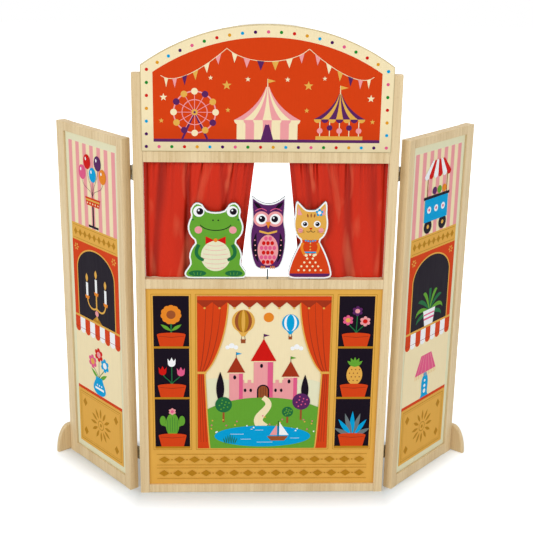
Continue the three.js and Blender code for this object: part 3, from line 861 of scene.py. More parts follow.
for k in range(26):
    x = 92 * math.sin(2.4 * k)
    board.disc((x, 140 + 12 * math.cos(4.1 * k) - 0.1 * abs(x)), 1.5,
               ("rose", "white", "amber")[k % 3], sides=8)
board.next()
for x, z, half in ((-46, 116, 12), (-30, 106, 9), (58, 108, 8), (4, 100, 14), (-6, 124, 7)):
    board.line([(x - half, z), (x + half, z)], 0.6, "white", swell=0.8)
board.patch([(8, 112), (46, 112), (39, 103), (15, 103)], "brown")
board.line([(28, 111), (28, 142)], 1.2, "black")
board.patch([(30, 114), (30, 140), (47, 114)], "white")
board.patch([(26, 114), (26, 136), (13, 114)], "pink")
board.next()
for k in range(-3, 4):
    x = -58.2 + 2.6 * k
    board.leaf((x, 96), (x + k * 1.6, 118 - abs(k) * 3), 2.2, "deep_green")
print("scenery: layer", board.layer, "shapes", board.shapes)

# %% [markdown]
# The window has a pelmet with pointed ends and a drape on each side. They hang in front of the
# view, so they come last. The plinth has two rows of lozenges, in ochre on amber.

# %% Lower board: drapes, pelmet and plinth
PELMET_POINTS = 9
PELMET_DEEP = 22.0
PLINTH = (left + 14, right - 14, bottom + 8, VIEW[2] - 9)

board.next()
for outer, inner in ((VIEW[0], -62), (VIEW[1], 62)):
    drape(board, outer, inner, VIEW[3], VIEW[2], 236)
board.next()
step = (VIEW[1] - VIEW[0]) / PELMET_POINTS
teeth = [(VIEW[0] + step * i / 2, VIEW[3] - PELMET_DEEP * (1.0 if i % 2 else 0.5))
         for i in range(2 * PELMET_POINTS + 1)]
board.patch([(VIEW[1], VIEW[3]), (VIEW[0], VIEW[3])] + teeth, "deep_red")
board.next()
board.box(VIEW[0], VIEW[1], VIEW[3] - PELMET_DEEP * 0.34, VIEW[3], "red")
for point in teeth[1::2]:
    board.disc(point, 1.9, "amber", sides=12)
board.next()

row_height = (PLINTH[3] - PLINTH[2]) / 2
for row in (0, 1):
    low = PLINTH[2] + row * row_height
    lozenges(board, PLINTH[0], PLINTH[1], low + 3, low + row_height - 3, 15 - row, "ochre")
print("drapes, pelmet and plinth: layer", board.layer, "shapes", board.shapes)

# %% [markdown]
# Six plants stand in the cases. Each is drawn from the middle of its tub's rim. They don't
# overlap, so each one starts again on the same layer.

# %% Lower board: plants
TUB_DEEP = 25.0
SHELF_HEIGHT = (VIEW[3] - VIEW[2]) / 3


def stems(art, foot, tips, width=1.8):
    """Bent stems from a height on the pen's middle line to their tips."""
    for x, z in tips:
        half = foot + (z - foot) * 0.5
        art.line(bezier((0, foot), (0, half), (x, half), (x, z), 8), width, "deep_green")


def tulips(art):
    tips = ((-16, 24), (0, 40), (16, 22))
    stems(art, -4, tips)
    art.next()
    for (x, z), ink in zip(tips, ("scarlet", "white", "rose")):
        art.patch([(x - 7, z + 9), (x - 3.5, z + 4), (x, z + 11), (x + 3.5, z + 4),
                   (x + 7, z + 9)] + arc((x, z), 6.6, 0, -180), ink)


def cactus(art):
    art.disc((0, 18), 12, "green", tall=1.9, sides=30)
    for side in (-1, 1):
        art.disc((side * 17, 26), 5.4, "green", tall=1.8, sides=20)
        art.line([(0, 12), (side * 17, 20)], 6, "green")
    art.next()
    for k in range(-2, 3):
        art.line([(k * 4.2, 4), (k * 4.2, 34 - abs(k) * 3)], 0.7, "deep_green")
    hearts(art, [flower(art, (0, 44), 7, "pink", "rose")])


def sunflower(art):
    stems(art, -4, [(0, 34)], 3)
    for side in (-1, 1):
        art.leaf((0, 4), (side * 18, 16), 6, "green")
    art.next()
    hearts(art, [flower(art, (0, 34), 19, "orange", "brown", 11)])


def agave(art):
    for k in range(7):
        art.leaf((0, -6), on_circle((0, -4), 34, 18 + 24 * k, 48 / 34), 8.5,
                 "blue" if k % 2 else "grey")


def daisies(art):
    tips = ((-15, 24), (1, 41), (15, 22))
    stems(art, -4, tips)
    art.next()
    hearts(art, [flower(art, tip, 10, ink, heart) for tip, ink, heart in zip(
        tips, ("rose", "purple", "pink"), ("amber", "pink", "scarlet"))])


def pineapple(art):
    art.disc((0, 18), 14, "amber", tall=1.4, sides=30)
    art.next()
    for k in range(5):
        art.leaf((0, 33), on_circle((0, 33), 17, 38 + 26 * k, 19 / 17), 6, "green")
    for row in range(4):
        for k in (-1, 0, 1):
            art.disc((k * 7 + (row % 2) * 3.5 - 1.7, 7 + row * 7), 1.3, "brown", sides=8)


def tub(art):
    art.next()
    art.patch([(-20, -TUB_DEEP), (20, -TUB_DEEP)]
              + bezier((25, -3), (24, 2), (-24, 2), (-25, -3)), "red")
    art.next()
    art.line([(-22, -6), (0, -8), (22, -6)], 0.9, "deep_red", swell=0.5)


first_layer = board.layer
for (x0, x1), plants in zip(CASES, ((cactus, tulips, sunflower), (agave, pineapple, daisies))):
    for level, plant in enumerate(plants):
        shelf = VIEW[2] + level * SHELF_HEIGHT
        board.layer = first_layer
        board.box(x0, x1, shelf, shelf + 4, "ochre")
        board.place((x0 + x1) / 2, shelf + 4 + TUB_DEEP)
        plant(board)
        tub(board)
        board.place()
board_piece = board.finish()
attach(board_piece, BODIES["centre"])

# %% [markdown]
# Six small things stand in the fields of the wings, three on each. They are common things of a
# playroom or a fair, and each is drawn from the middle of its foot upwards.

# %% Vase, candles and lamp
def vase(art):
    """A round vase with three flowers."""
    tips = ((-17, 52), (1, 68), (17, 55))
    stems(art, 24, tips, 1.25)
    for side in (-1, 1):
        art.leaf((0, 26), (side * 22, 40), 6, "green")
    art.next()
    blooms = [flower(art, tip, 12, ink, heart) for tip, ink, heart in zip(
        tips, ("rose", "scarlet", "blue"), ("amber", "pink", "white"))]
    outline = bezier((6, 0), (30, 8), (8, 22), (9, 30))
    art.patch(outline + mirrored(outline)[::-1], "blue")
    hearts(art, blooms)
    art.box(-12, 12, 9, 12.5, "white")
    for k in (-1, 0, 1):
        art.disc((6 * k, 16.5), 1.5, "white", sides=10)


def candles(art):
    """A branched candlestick with three lit candles."""
    art.patch([(-13, 0), (13, 0), (3, 8), (-3, 8)], "ochre")
    art.line([(0, 4), (0, 46)], 3.2, "amber")
    for side in (-1, 1):
        art.line(bezier((0, 22), (side * 12, 14), (side * 24, 20), (side * 24, 36), 14), 2.6,
                 "amber")
    art.next()
    for x, z in ((-24, 36), (0, 46), (24, 36)):
        art.patch([(x - 6, z), (x + 6, z), (x + 4, z - 5), (x - 4, z - 5)], "orange")
        art.box(x - 2.7, x + 2.7, z, z + 20, "white")
        art.leaf((x, z + 20.5), (x, z + 34), 6.4, "amber")
    art.disc((0, 14), 4.4, "pink", sides=16)


def lamp(art):
    """A table lamp with a fringed shade."""
    outline = bezier((11, 0), (2, 6), (16, 20), (2.4, 38))
    art.patch(outline + mirrored(outline)[::-1], "blue")
    art.next()
    art.patch([(-27, 38), (27, 38), (13, 66), (-13, 66)], "rose")
    for k in range(13):
        x = -26 + k * 4.33
        art.line([(x, 38), (x, 32)], 1.0, "amber")
    art.next()
    for k in range(-2, 3):
        art.line([(k * 10, 39), (k * 5, 65)], 1.1 / art.scale, "pink")
    for k in range(3):
        art.disc((0, 9 + 8 * k), 3.2 - 0.6 * k, "white", sides=12)

# %% [markdown]
# The larger three: a palm for the dark arch, and two fairground things for the striped walls.

# %% Palm, balloons and sweet stall
def palm(art):
    """A palm in a banded pot."""
    for k in range(9):
        x, z = on_circle((0, 0), 46 - abs(k - 4) * 3, 25 * k - 10)
        low = 12 if abs(k - 4) > 2 else 22
        art.line(bezier((0, 22), (0.5 * x, 22 + 0.75 * z), (0.9 * x, 22 + 0.8 * z),
                        (x, low + 0.72 * z), 10),
                 0.96, "green" if k % 2 else "deep_green", end_width=0.32, swell=5.5)
    art.next()
    art.patch([(-11, 0), (11, 0), (16, 24), (-16, 24)], "white")
    art.next()
    art.box(-13, 13, 9, 12, "rose")
    art.box(-14, 14, 16, 18, "rose")


def toy_balloons(art):
    """Balloons tied to a black stand with a tray."""
    spots = ((-30, 92), (-14, 112), (2, 92), (18, 114), (32, 94))
    art.box(-15, 15, 0, 4, "black")
    art.box(-2, 2, 2 / art.scale, 40, "black")
    art.patch([(-19, 38), (19, 38), (23, 52), (-23, 52)], "red")
    for x, z in spots:
        art.line(bezier((0, 52), (0, 70), (x * 0.9, z - 30), (x, z - 13), 8),
                 0.6 / art.scale, "black")
    art.next()
    for (x, z), ink in zip(spots, ("rose", "scarlet", "blue", "purple", "orange")):
        art.disc((x, z), 10.5, ink, tall=1.2)
        art.next()
        art.disc((x - 3.6, z + 4.6), 1.9, "white", tall=1.5, sides=12)
    art.box(-21, 21, 46, 49, "amber")
    for k in range(-2, 3):
        art.disc((k * 8, 42), 1.6, "cream", sides=10)


def sweet_stall(art):
    """A small stall with a striped roof, on two wheels."""
    for side in (-1, 1):
        art.disc((side * 19, 10), 10, "black", sides=26)
        art.box(side * 25 - 0.96, side * 25 + 0.96, 50, 88, "brown")
    art.next()
    art.box(-30, 30, 17, 52, "blue")
    for side in (-1, 1):
        art.disc((side * 19, 10), 3, "amber", sides=14)
    art.next()
    art.box(-33, 33, 50, 54, "black")
    for k in range(6):
        x0, x1 = (-34 + i * 68 / 6 for i in (k, k + 1))
        ink = "scarlet" if k % 2 else "white"
        art.patch([(x0, 84), (x1, 84), (x1 * 0.45, 104), (x0 * 0.45, 104)], ink)
        art.patch(arc(((x0 + x1) / 2, 84), (x1 - x0) / 2, 0, -180, 10), ink)
    for k, ink in enumerate(("pink", "purple", "green", "orange")):
        art.disc((-19 + k * 12.6, 60), 5.6, ink, sides=18)
    for k in (-1, 0, 1):
        art.disc((k * 18, 34), 5, "white", sides=18)
    art.next()
    for k in (-1, 0, 1):
        art.disc((k * 18, 34), 2.2, "rose", sides=12)

# %% [markdown]
# From the top down a wing has a striped wall, a narrow amber band, a dark arch in a red wall, a
# pale window under an awning, and a large amber panel. Everything on it is placed from its
# sight opening, which the CAD frame gives, and from the heights between the fields.

# %% Wing fields
WING_MARGIN = 10.0
WING_STRIPES = 13
PANEL_TOP, AWNING_TOP, NICHE_TOP, BAND_TOP = 146.0, 292.0, 440.0, 472.0
AWNING_STRIPES = 9


def rosette(art, centre, near, far, width, count, ink):
    """Leaves round a centre."""
    for k in range(count):
        turn = 360 * k / count
        art.leaf(on_circle(centre, near, turn), on_circle(centre, far, turn), width, ink)


def stand(art, x, z, motif, size):
    art.place(x, z, size)
    motif(art)
    art.place()


def amber_panel(art, x0, x1, z0, z1):
    """A panel with a double frame, a large rosette and four lozenges."""
    art.box(x0, x1, z0, z1, "amber")
    art.next()
    for inset, width in ((6, 1.4), (10, 0.7)):
        frame_line(art, x0, x1, z0, z1, inset, width, "ochre")
    x, z = (x0 + x1) / 2, (z0 + z1) / 2
    rosette(art, (x, z), 13, 34, 6, 12, "ochre")
    art.line(arc((x, z), 9, 0, 360, 32), 1.6, "ochre")
    art.disc((x, z), 3.4, "ochre", sides=18)
    for across in (-52, 52):
        for up in (-30, 30):
            diamond(art, x + across, z + up, 7, 9, "ochre")
    art.next()


def arched_niche(art, x0, x1, z0, z1, motif, size):
    """A dark round arch with a gold edge in a red wall."""
    art.box(x0, x1, z0, z1, "red")
    art.next()
    x, half = (x0 + x1) / 2, (x1 - x0) / 2 - 13
    spring = z1 - 9 - half * 0.72
    opening = [(x - half, z0), (x + half, z0)] + arc((x, spring), half, 0, 180, 24, 0.72)
    art.patch(opening, "black")
    for side in (-1, 1):
        rosette(art, (x + side * half, z1 - 13), 2, 7.5, 3, 6, "amber")
    art.next()
    stand(art, x, z0 + 4, motif, size)
    art.next()
    art.line(opening[1:] + opening[:1], 2.6, "amber")
    art.box(x0, x1, z0, z0 + 4, "amber")
    art.next()


def awning_window(art, x0, x1, z0, z1, motif, size):
    """A pale window under a striped awning with round ends."""
    art.box(x0, x1, z0, z1, "cream")
    art.next()
    stand(art, (x0 + x1) / 2, z0 + 6, motif, size)
    art.box(x0, x1, z0, z0 + 6, "red")
    art.next()
    for k in range(AWNING_STRIPES):
        a, b = (x0 + (x1 - x0) * i / AWNING_STRIPES for i in (k, k + 1))
        art.patch([(b, z1), (a, z1)] + arc(((a + b) / 2, z1 - 22), (b - a) / 2, 180, 360, 10),
                  "white" if k % 2 else "red")
    art.next()
    art.line([(x0, z1 - 21), (x1, z1 - 21)], 0.8, "deep_red")
    art.next()

# %% [markdown]
# The two wings share their fields and differ in what stands in them, from the awning window up.

# %% Wing prints
WING_MOTIFS = {
    "left": ((vase, 1.2), (candles, 1.25), (toy_balloons, 1.05)),
    "right": ((lamp, 1.3), (palm, 1.25), (sweet_stall, 1.25)),
}
for side, (pale, dark, standing) in WING_MOTIFS.items():
    x0, x1, z0, z1 = WINGS[side]
    art = Print(side + "_wing_print", side, flat_box(side + "_wing_picture_board", side)[0].y)
    art.box(x0, x1, z0, z1, "pale")
    art.next()
    x0, x1 = x0 + WING_MARGIN, x1 - WING_MARGIN
    stripes(art, x0, x1, BAND_TOP, z1 - 14, WING_STRIPES, ("pink", "cream"))
    art.next()
    art.box(x0, x1, NICHE_TOP, BAND_TOP, "amber")
    art.next()
    lozenges(art, x0 + 4, x1 - 4, NICHE_TOP + 4, BAND_TOP - 4, 9, "ochre")
    arched_niche(art, x0, x1, AWNING_TOP, NICHE_TOP, *dark)
    awning_window(art, x0, x1, PANEL_TOP, AWNING_TOP, *pale)
    amber_panel(art, x0, x1, z0 + 12, PANEL_TOP)
    stand(art, (x0 + x1) / 2, BAND_TOP + 2, *standing)
    piece = art.finish()
    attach(piece, BODIES[side])

# %% [markdown]
# A puppet is a board cut round its picture, with a white margin. The cut is the CAD board's
# outline, so the picture's silhouette is its front face, drawn in by the margin. Cutting that
# face at a height gives the parts of a figure, such as a skirt or a head. A puppet's drawing
# starts from the middle of its foot.

# %% Puppet silhouettes
PUPPET_MARGIN = 2.6


def silhouette(art, name, margin=PUPPET_MARGIN, low=None, high=None):
    """The board's front outline, drawn in by a margin and cut at heights above its foot."""
    mesh = bmesh.new()
    mesh.from_mesh(frame["nodes"][name + "_puppet"].data)
    bmesh.ops.scale(mesh, vec=(1 / MM, 1 / MM, 1 / MM), verts=mesh.verts[:])
    front = min(vertex.co.y for vertex in mesh.verts) + 0.01
    behind = [f for f in mesh.faces if max(v.co.y for v in f.verts) > front]
    bmesh.ops.delete(mesh, geom=behind, context="FACES")
    bmesh.ops.remove_doubles(mesh, verts=mesh.verts[:], dist=0.02)
    bmesh.ops.dissolve_faces(mesh, faces=mesh.faces[:])
    if margin:
        ring = bmesh.ops.inset_individual(
            mesh, faces=mesh.faces[:], thickness=margin, use_even_offset=True)["faces"]
        bmesh.ops.delete(mesh, geom=ring, context="FACES")
        bmesh.ops.remove_doubles(mesh, verts=mesh.verts[:], dist=0.6)
    for height, way in ((low, -1), (high, 1)):
        if height is not None:
            bmesh.ops.bisect_plane(
                mesh, geom=mesh.verts[:] + mesh.edges[:] + mesh.faces[:],
                plane_co=(0, 0, art.z + height), plane_no=(0, 0, way), clear_outer=True)
    face = max(mesh.faces, key=lambda f: f.calc_area())
    points = [(vertex.co.x - art.x, vertex.co.z - art.z) for vertex in face.verts]
    mesh.free()
    return points


def eye(art, x, z, radius, look=0.0):
    art.disc((x, z), radius, "white")
    art.next()
    art.disc((x + look, z), radius * 0.62, "black", sides=20)
    art.next()
    art.disc((x + look - radius * 0.2, z + radius * 0.22), radius * 0.17, "white", sides=10)

# %% [markdown]
# Each puppet is symmetric, so most of its shapes come in pairs. Belly, limbs and face go on one
# after the other, as a maker of paper figures would glue them.

# %% Frog
def frog(art, top):
    art.patch(silhouette(art, "frog"), "green")
    art.next()
    art.disc((0, 40), 25, "pale", tall=1.08, sides=40)
    for side in (-1, 1):
        art.disc((side * 31, 9), 15, "deep_green", tall=0.36)
        art.line(bezier((side * 28, 60), (side * 36, 48), (side * 34, 37), (side * 20, 33), 14),
                 6.0, "deep_green")
        art.disc((side * 29, 86), 6.4, "pink", sides=20)
    art.next()
    for k in range(6):
        half, z = 23 - abs(k - 2.5) * 3.4, 20 + k * 8
        art.line(bezier((-half, z), (-half / 3, z - 3), (half / 3, z - 3), (half, z), 10), 0.7,
                 "pink")
    for side in (-1, 1):
        for k in (-1, 0, 1):
            art.line([(side * 31 + k * 5, 6), (side * 31 + k * 6.4, 11)], 0.8, "green")
    art.line(bezier((-26, 95), (-16, 82), (16, 82), (26, 95), 20), 1.5, "black")
    for side in (-1, 1):
        art.disc((side * 4.4, 103), 1.4, "black", sides=10)
        art.patch([(side * 2, 68), (side * 17, 75), (side * 17, 61)], "scarlet")
        art.disc((side * 38, 104), 1.6, "deep_green", sides=10)
        art.disc((side * 34, 110), 1.2, "deep_green", sides=10)
    art.next()
    art.disc((0, 68), 3.4, "orange", sides=16)
    for side in (-1, 1):
        eye(art, side * 28, top - 15, 9.4, 1.6)

# %% [markdown]
# The owl has rows of scales on its belly, folded wings and a yellow collar.

# %% Owl
def owl(art, _top):
    art.patch(silhouette(art, "owl"), "purple")
    art.next()
    art.disc((0, 34), 17.5, "pink", tall=1.55, sides=36)
    art.next()
    for row in range(6):
        for k in range(-2 + row % 2, 3):
            x = (k - 0.5 * (row % 2)) * 7.2
            if abs(x) < 14 - abs(row - 2.5) * 1.4:
                art.disc((x, 13 + row * 8.4), 3.1, "rose" if row % 2 else "scarlet", tall=1.2,
                         sides=14)
    for side in (-1, 1):
        art.line(bezier((side * 20, 64), (side * 24.5, 46), (side * 22, 26), (side * 16, 13), 14),
                 1.0, "black", end_width=0.6, swell=7.0)
        for k in (-1, 0, 1):
            art.line([(side * 8 + k * 2.6, 6), (side * 8 + k * 3.4, 0.8)], 1.5, "orange")
    art.next()
    for side in (-1, 1):
        art.disc((side * 11.6, 89), 13.4, "pink", sides=30)
        art.leaf((side * 10, 104), (side * 25, 119), 6, "black")
        for k in range(4):
            art.disc((side * (22.4 - 0.6 * k), 52 - k * 9), 1.2, "pink", sides=10)
    art.next()
    for side in (-1, 1):
        eye(art, side * 11.6, 89, 9.2, -side * 0.8)
    art.next()
    art.patch([(-4.4, 84), (4.4, 84), (0, 72)], "orange")
    art.patch([(-15, 66), (0, 62), (15, 66), (15, 69.5), (0, 65.5), (-15, 69.5)], "amber")
    for side in (-1, 1):
        art.line(bezier((side * 3, 103), (side * 9, 109), (side * 17, 108), (side * 22, 103), 10),
                 1.3, "rose")

# %% [markdown]
# The cat wears a dress with dots, so its silhouette is cut at the neck and at the hem. Then the
# three prints are made, each with its pen's zero at the middle of the puppet's foot.

# %% Cat, and the three prints
def cat(art, top):
    waist, neck = 47, 69
    art.patch(silhouette(art, "cat", low=neck), "amber")
    art.patch(silhouette(art, "cat", high=neck), "red")
    art.next()
    art.patch(silhouette(art, "cat", PUPPET_MARGIN + 0.4, high=9), "purple")
    for row in range(5):
        for k in range(-2 + row % 2, 3):
            x = (k - 0.5 * (row % 2)) * 9.6
            if abs(x) < 23 - row * 3.2:
                art.disc((x, 15 + row * 7), 1.9, "cream", sides=14)
    for k in range(3):
        art.disc((0, waist + 5 + k * 5.5), 1.4, "amber", sides=12)
    art.box(-10, 10, waist - 1.4, waist + 1.4, "blue")
    for side in (-1, 1):
        art.line(bezier((side * 12, neck - 5), (side * 17, waist + 12), (side * 14, waist - 1),
                        (side * 7, waist - 5)), 4.6, "orange")
        art.patch([(side * 15, top - 24), (side * 23, top - 24), (side * 22, top - 9)], "pink")
    art.next()
    for side in (-1, 1):
        art.disc((side * 6.6, waist - 5.4), 2.6, "cream", sides=14)
        art.disc((side * 17.5, 86), 4.4, "pink", sides=18)
        for k in (-1, 0, 1):
            art.line([(side * 11, 84 + k * 1.6), (side * 24, 85 + k * 4.4)], 0.5, "brown")
        for k in (-1, 0, 1):
            art.leaf((k * 6.4, 116 - abs(k) * 0.6), (k * 5, 108), 2.6, "brown")
    art.next()
    for side in (-1, 1):
        eye(art, side * 10.5, 97, 5.8, 0.6)
        art.line(bezier((0, 86), (side * 2, 82), (side * 6, 82), (side * 7, 85), 8), 0.9, "black")
    art.next()
    art.patch([(-3, 90.5), (3, 90.5), (0, 86.5)], "scarlet")
    for k in range(-2, 3):
        art.disc((k * 4, neck - 1 - (2 - abs(k)) * 0.8), 1.6, "blue", sides=12)
    hearts(art, [flower(art, (14, top - 20), 7, "blue", "white", 5)])


for name, draw in (("frog", frog), ("owl", owl), ("cat", cat)):
    low, high = flat_box(name + "_puppet", "centre")
    art = Print(name + "_print", "centre", low.y)
    art.place((low.x + high.x) / 2, low.z)
    art.patch(silhouette(art, name, 0.0), "white")
    art.next()
    draw(art, high.z - low.z)
    piece = art.finish()
    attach(piece, name + "_puppet")
    # The board's edges and back are dark grey: partly its own colour, partly painted shade on its edges.
    dress(name + "_puppet", INKS["grey"])

# %% [markdown]
# Each curtain is one length of satin. Its top is turned over the rod and stitched, which makes
# a pocket, and it hangs to just above the sill. The cloth starts as a flat grid. Its rows follow
# the pocket and the drop, its columns spread from the stile to the free edge, and folds are
# added: soft broad ones that fan out towards the hem, and short gathers below the stitching.

# %% Curtain shape
ROD_LOW, ROD_HIGH = flat_box("curtain_rod", "centre")
ROD = ((ROD_LOW.y + ROD_HIGH.y) / 2, (ROD_LOW.z + ROD_HIGH.z) / 2)
POCKET_RADIUS = 3.7
CLOTH_THICKNESS = 0.4
CURTAIN_HEM = 411.2
COLUMNS = 260
POCKET_ROWS = 22
POCKET_END = 125
DROP_ROWS = 110
CREASE_REACH = 0.66
GATHERS = 29
GATHER_DEEP = 1.1
GATHER_REACH = 0.10

CURTAINS = {
    "left": {"stile": -203.4, "top": -19.5, "hem": -42.5, "valleys": (
        (0.025, 0.010, 0.018, 0.016, 3.2, 3.0), (0.175, 0.085, 0.034, 0.036, 3.6, 4.8),
        (0.385, 0.440, 0.011, 0.046, 4.2, 5.6), (0.700, 0.840, 0.030, 0.036, 2.2, 4.6),
        (0.960, 0.975, 0.020, 0.024, 2.6, 3.2)),
        "creases": ((0.425, 0.405, 2.6), (0.535, 0.465, 4.4), (0.610, 0.600, 1.6),
                    (0.815, 0.760, 3.6), (0.845, 0.850, 2.2), (0.270, 0.255, 1.8),
                    (0.095, 0.070, 1.6), (0.925, 0.930, 1.8))},
    "right": {"stile": 203.4, "top": 38.0, "hem": 61.0, "valleys": (
        (0.025, 0.012, 0.020, 0.018, 3.2, 3.0), (0.160, 0.090, 0.060, 0.026, 3.0, 1.6),
        (0.395, 0.400, 0.013, 0.062, 4.4, 5.2), (0.820, 0.800, 0.034, 0.040, 4.0, 3.0),
        (0.965, 0.975, 0.020, 0.024, 2.6, 3.2)),
        "creases": ((0.425, 0.445, 3.0), (0.725, 0.735, 4.6), (0.755, 0.770, 3.0),
                    (0.600, 0.570, 2.4), (0.270, 0.285, 2.0), (0.120, 0.110, 1.8),
                    (0.885, 0.900, 2.2), (0.500, 0.510, 1.6))},
}


def bump(distance, width):
    return math.exp(-(distance / width) ** 2)


def fold_depth(curtain, share, fall):
    """How far the cloth lies back at a share of its width and of its drop."""
    depth = 0.0
    for top_at, hem_at, top_width, hem_width, top_deep, hem_deep in curtain["valleys"]:
        at = top_at + (hem_at - top_at) * fall ** 0.85
        width = top_width + (hem_width - top_width) * fall ** 0.8
        deep = top_deep + (hem_deep - top_deep) * fall
        side = share - at
        depth += deep * bump(side, width * (1.45 if side > 0 else 0.85))
    for top_at, low_at, deep in curtain["creases"]:
        reach = fall / CREASE_REACH
        if reach < 1:
            at = top_at + (low_at - top_at) * reach
            width = 0.008 + 0.022 * reach
            depth += deep * (1 - reach) ** 1.2 * (bump(share - at, width)
                                                  - 0.5 * bump(share - at + 0.02, width))
    fine = math.sin(2 * math.pi * (share * GATHERS + 0.6 * math.sin(share * 23)))
    depth += GATHER_DEEP * fine * math.exp(-fall / GATHER_REACH)
    place = Vector((share * 6.0, fall * 1.7, curtain["stile"]))
    return depth + 1.5 * noise.noise(place) + 0.4 * noise.noise(place * 2.7)


def cloth_path(row):
    """Depth and height of a row: round the rod, down to the stitching, then the drop."""
    y, z = ROD
    if row <= POCKET_ROWS:
        angle = math.radians(POCKET_END * (2 * row / POCKET_ROWS - 1))
        return y + POCKET_RADIUS * math.cos(angle), z + POCKET_RADIUS * math.sin(angle), 0.0
    fall = (row - POCKET_ROWS) / DROP_ROWS
    start = z - POCKET_RADIUS * math.sin(math.radians(POCKET_END))
    return y - 1.0, start + (CURTAIN_HEM - start) * fall, fall

# %% [markdown]
# The rod and stile leave the cloth only a few millimetres of depth, so the folds are held
# between a front and a back limit by a soft stop instead of a hard cut. The grid's own UV map
# goes along with the cloth, and later carries its weave.

# %% Curtains
CLOTH_FRONT = 0.9
CLOTH_BACK = 8.3
CLOTH_AHEAD = 1.2
FOLDS_START = 0.03


def soft_limit(value, low, high):
    middle, half = (low + high) / 2, (high - low) / 2
    return middle + half * math.tanh((value - middle) / half)


def curtain_cloth(side):
    curtain = CURTAINS[side]
    rows = POCKET_ROWS + DROP_ROWS
    mesh = bmesh.new()
    bmesh.ops.create_grid(mesh, x_segments=COLUMNS, y_segments=rows, size=0.5, calc_uvs=False)
    layer = mesh.loops.layers.uv.new("cloth")
    fold = mesh.verts.layers.float.new("fold")
    for face in mesh.faces:
        face.smooth = True
        for loop in face.loops:
            loop[layer].uv = (loop.vert.co.x + 0.5, loop.vert.co.y + 0.5)
    for vertex in mesh.verts:
        share = vertex.co.x + 0.5
        row = round((vertex.co.y + 0.5) * rows)
        y, z, fall = cloth_path(row)
        inner = curtain["top"] + (curtain["hem"] - curtain["top"]) * fall
        x = curtain["stile"] + (inner - curtain["stile"]) * share
        if row > POCKET_ROWS:
            y += (fold_depth(curtain, share, fall) - CLOTH_AHEAD) * min(1.0, fall / FOLDS_START)
            y = soft_limit(y, CLOTH_FRONT, CLOTH_BACK)
            # How far back the cloth lies, kept for the satin's painted shade in the valleys.
            vertex[fold] = (y - CLOTH_FRONT) / (CLOTH_BACK - CLOTH_FRONT)
        vertex.co = (x * MM, y * MM, z * MM)
    area = sum(face.calc_area() for face in mesh.faces)
    if side == "left":
        bmesh.ops.reverse_faces(mesh, faces=mesh.faces[:])
    cloth = mesh_object(side + "_curtain_cloth", mesh, [])
    solid = cloth.modifiers.new("thickness", "SOLIDIFY")
    solid.thickness = CLOTH_THICKNESS * MM
    solid.offset = 0.0
    print(cloth.name, "area in square metres:", round(area, 4))
    return cloth

# %% [markdown]
# Satin is dark where it turns away and light where it faces the lamps, with a soft sheen along
# the folds. Its weave is far finer than the folds, so a faint stripe across the thread is
# enough, on the cloth's UV map. The folds' own depth, kept on the mesh, paints shade into the
# valleys, and a slanted noise paints soft patches of highlight on the cloth.

# %% Satin
def satin_group():
    tree, given, result = new_group("satin_weave_and_painted_light", {"Thread": (0.5, 0.1, 0.1, 1)})
    uv = add(tree, "ShaderNodeUVMap", uv_map="cloth").outputs[0]
    place = add(tree, "ShaderNodeMapping", {"Vector": uv, "Scale": (1.0, 0.12, 1.0)})
    slub = add(tree, "ShaderNodeTexNoise", {
        "Vector": place.outputs[0], "Scale": 260.0, "Detail": 2.0}).outputs["Fac"]
    weave = add(tree, "ShaderNodeTexWave", {
        "Vector": uv, "Scale": 90.0, "Distortion": 0.6, "Detail": 1.0}).outputs["Fac"]
    shade = shaded(tree, given["Thread"], (0.80, 0.76, 0.76))
    painted_valley_shade = shaded(tree, given["Thread"], (0.44, 0.36, 0.32))
    colour = mix_colour(tree, stretch(tree, slub, 0.35, 0.65, 0.0, 0.35), given["Thread"], shade)
    fold = add(tree, "ShaderNodeAttribute", attribute_name="fold").outputs["Fac"]
    # Painted shade: the deeper the fold, the darker the cloth.
    colour = mix_colour(tree, stretch(tree, fold, 0.15, 0.85), colour, painted_valley_shade)
    # Painted highlight: a slanted, stretched noise lightens the cloth in soft patches.
    tilted = add(tree, "ShaderNodeMapping", {
        "Vector": uv, "Rotation": (0.0, 0.0, 0.45), "Scale": (7.0, 2.2, 1.0)})
    painted_gleam = add(tree, "ShaderNodeTexNoise", {
        "Vector": tilted.outputs[0], "Scale": 1.0, "Detail": 1.5, "Distortion": 0.9})
    painted_highlight = mix_colour(tree, 0.34, colour, (0.85, 0.20, 0.09, 1))
    colour = mix_colour(tree, stretch(tree, painted_gleam.outputs["Fac"], 0.55, 0.70), colour, painted_highlight)
    fill(result, {"Color": colour, "Roughness": stretch(tree, slub, 0.3, 0.7, 0.40, 0.52),
                  "Height": plus(tree, weave, slub)})
    return tree


SATIN_RED = srgb(216, 43, 10)
SATIN = group_material(
    "red_satin", SATIN_RED, satin_group(), {"Thread": SATIN_RED},
    strength=0.15, distance=0.0001,
    looks={"Specular IOR Level": 0.2, "Sheen Weight": 0.03, "Sheen Tint": srgb(240, 120, 90)})

for side in CURTAINS:
    cloth = curtain_cloth(side)
    cloth.data.materials.append(SATIN)
    node = side + "_curtain"
    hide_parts(node)
    low, high = flat_box(node, "centre")
    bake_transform(cloth)

# %% [markdown]
# The studio: a pale floor and soft light. The floor looks white to the camera because part of
# its brightness comes from a camera-only glow, so the lamps can stay at a level where colours
# render as written. The glow is weakest at the object's foot and grows with the distance from
# it, which leaves the object's own soft shadow.

# %% Floor, world and lamps
def camera_side(tree):
    """1 for rays that show the background: from the camera, by mirror, or through glass."""
    path = add(tree, "ShaderNodeLightPath").outputs
    seen = plus(tree, path["Is Camera Ray"], path["Is Glossy Ray"])
    return plus(tree, seen, path["Is Transmission Ray"], clamp=True)


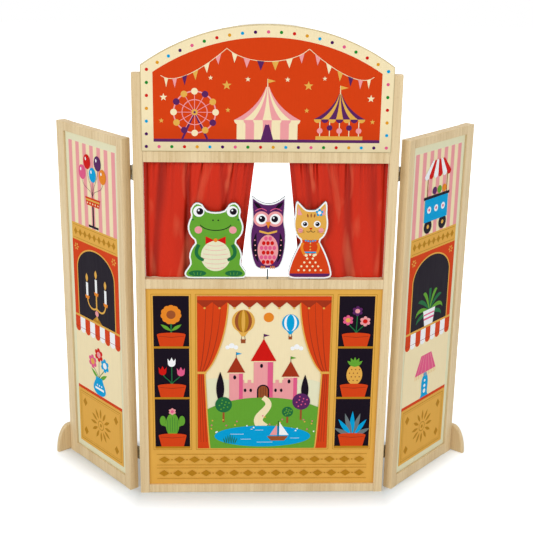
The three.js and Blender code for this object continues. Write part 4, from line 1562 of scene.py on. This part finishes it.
FLOOR_COLOUR = srgb(230, 237, 241)
FLOOR_REACH = 8.0
PANEL_HALF, PANEL_FRONT, WINGS_HALF, WINGS_BACK = 0.2215, -0.010, 0.375, 0.176
WING_TURN = math.radians(49.3)
SHADOW_REACH = 0.06
SHADOW_GLOW = (0.0, 0.46)


def footprint_distance(tree):
    """Distance on the floor from the outline that the panel and wings stand on, in metres."""
    place = add(tree, "ShaderNodeSeparateXYZ", {
        0: add(tree, "ShaderNodeTexCoord").outputs["Object"]}).outputs
    across = math_node(tree, "ABSOLUTE", place["X"])
    ahead = math_node(tree, "SUBTRACT", PANEL_FRONT, place["Y"])
    aside = plus(tree, times(tree, math_node(tree, "SUBTRACT", across, PANEL_HALF),
                             math.sin(WING_TURN)), times(tree, ahead, math.cos(WING_TURN)))
    aside = times(tree, aside, 1.5)
    behind = math_node(tree, "SUBTRACT", place["Y"], WINGS_BACK)
    beside = math_node(tree, "SUBTRACT", across, WINGS_HALF)
    hind = times(tree, math_node(tree, "MAXIMUM", beside, behind), 3.0)
    return math_node(tree, "MAXIMUM", math_node(tree, "MAXIMUM", ahead, aside), hind)


floor_material, tree, shader = new_material("studio_floor", FLOOR_COLOUR, 0.9)
grit = stretched_noise(tree, 12, 12)
tint = mix_colour(tree, stretch(tree, grit, 0.3, 0.7, 0.0, 0.05), FLOOR_COLOUR,
                  srgb(228, 228, 230))
away = footprint_distance(tree)
glow = plus(tree, stretch(tree, away, 0.0, SHADOW_REACH, *SHADOW_GLOW),
            stretch(tree, away, SHADOW_REACH, 1.5, 0.0, 0.6))
fill(shader, {"Base Color": tint, "Specular IOR Level": 0.0, "Emission Color": (1, 1, 1, 1),
              "Emission Strength": times(tree, camera_side(tree), glow)})

mesh = bmesh.new()
bmesh.ops.create_grid(mesh, x_segments=1, y_segments=1, size=FLOOR_REACH)
floor = mesh_object("floor", mesh, [floor_material])

WORLD_LIGHT = 0.45
world = bpy.data.worlds.new("studio")
bpy.context.scene.world = world
world.use_nodes = True
tree = world.node_tree
fill(tree.nodes["Background"], {
    "Color": (1, 1, 1, 1),
    "Strength": stretch(tree, camera_side(tree), 0, 1, WORLD_LIGHT, 1.0)})

LAMPS = {
    "key": ((-2.2, -2.3, 2.0), 1.2, 41.0),
    "fill": ((2.3, -2.2, 1.6), 1.8, 27.0),
    "top": ((0.2, 0.3, 2.6), 1.6, 12.0),
}
AIM = Vector((0, 0, 0.4))
for name, (place, size, power) in LAMPS.items():
    lamp_data = bpy.data.lights.new(name, "AREA")
    lamp_data.size, lamp_data.energy = size, power
    lamp = linked(name, lamp_data)
    lamp.location = place
    lamp.rotation_euler = (AIM - Vector(place)).to_track_quat("-Z", "Y").to_euler()
print("lamps:", sorted(LAMPS))
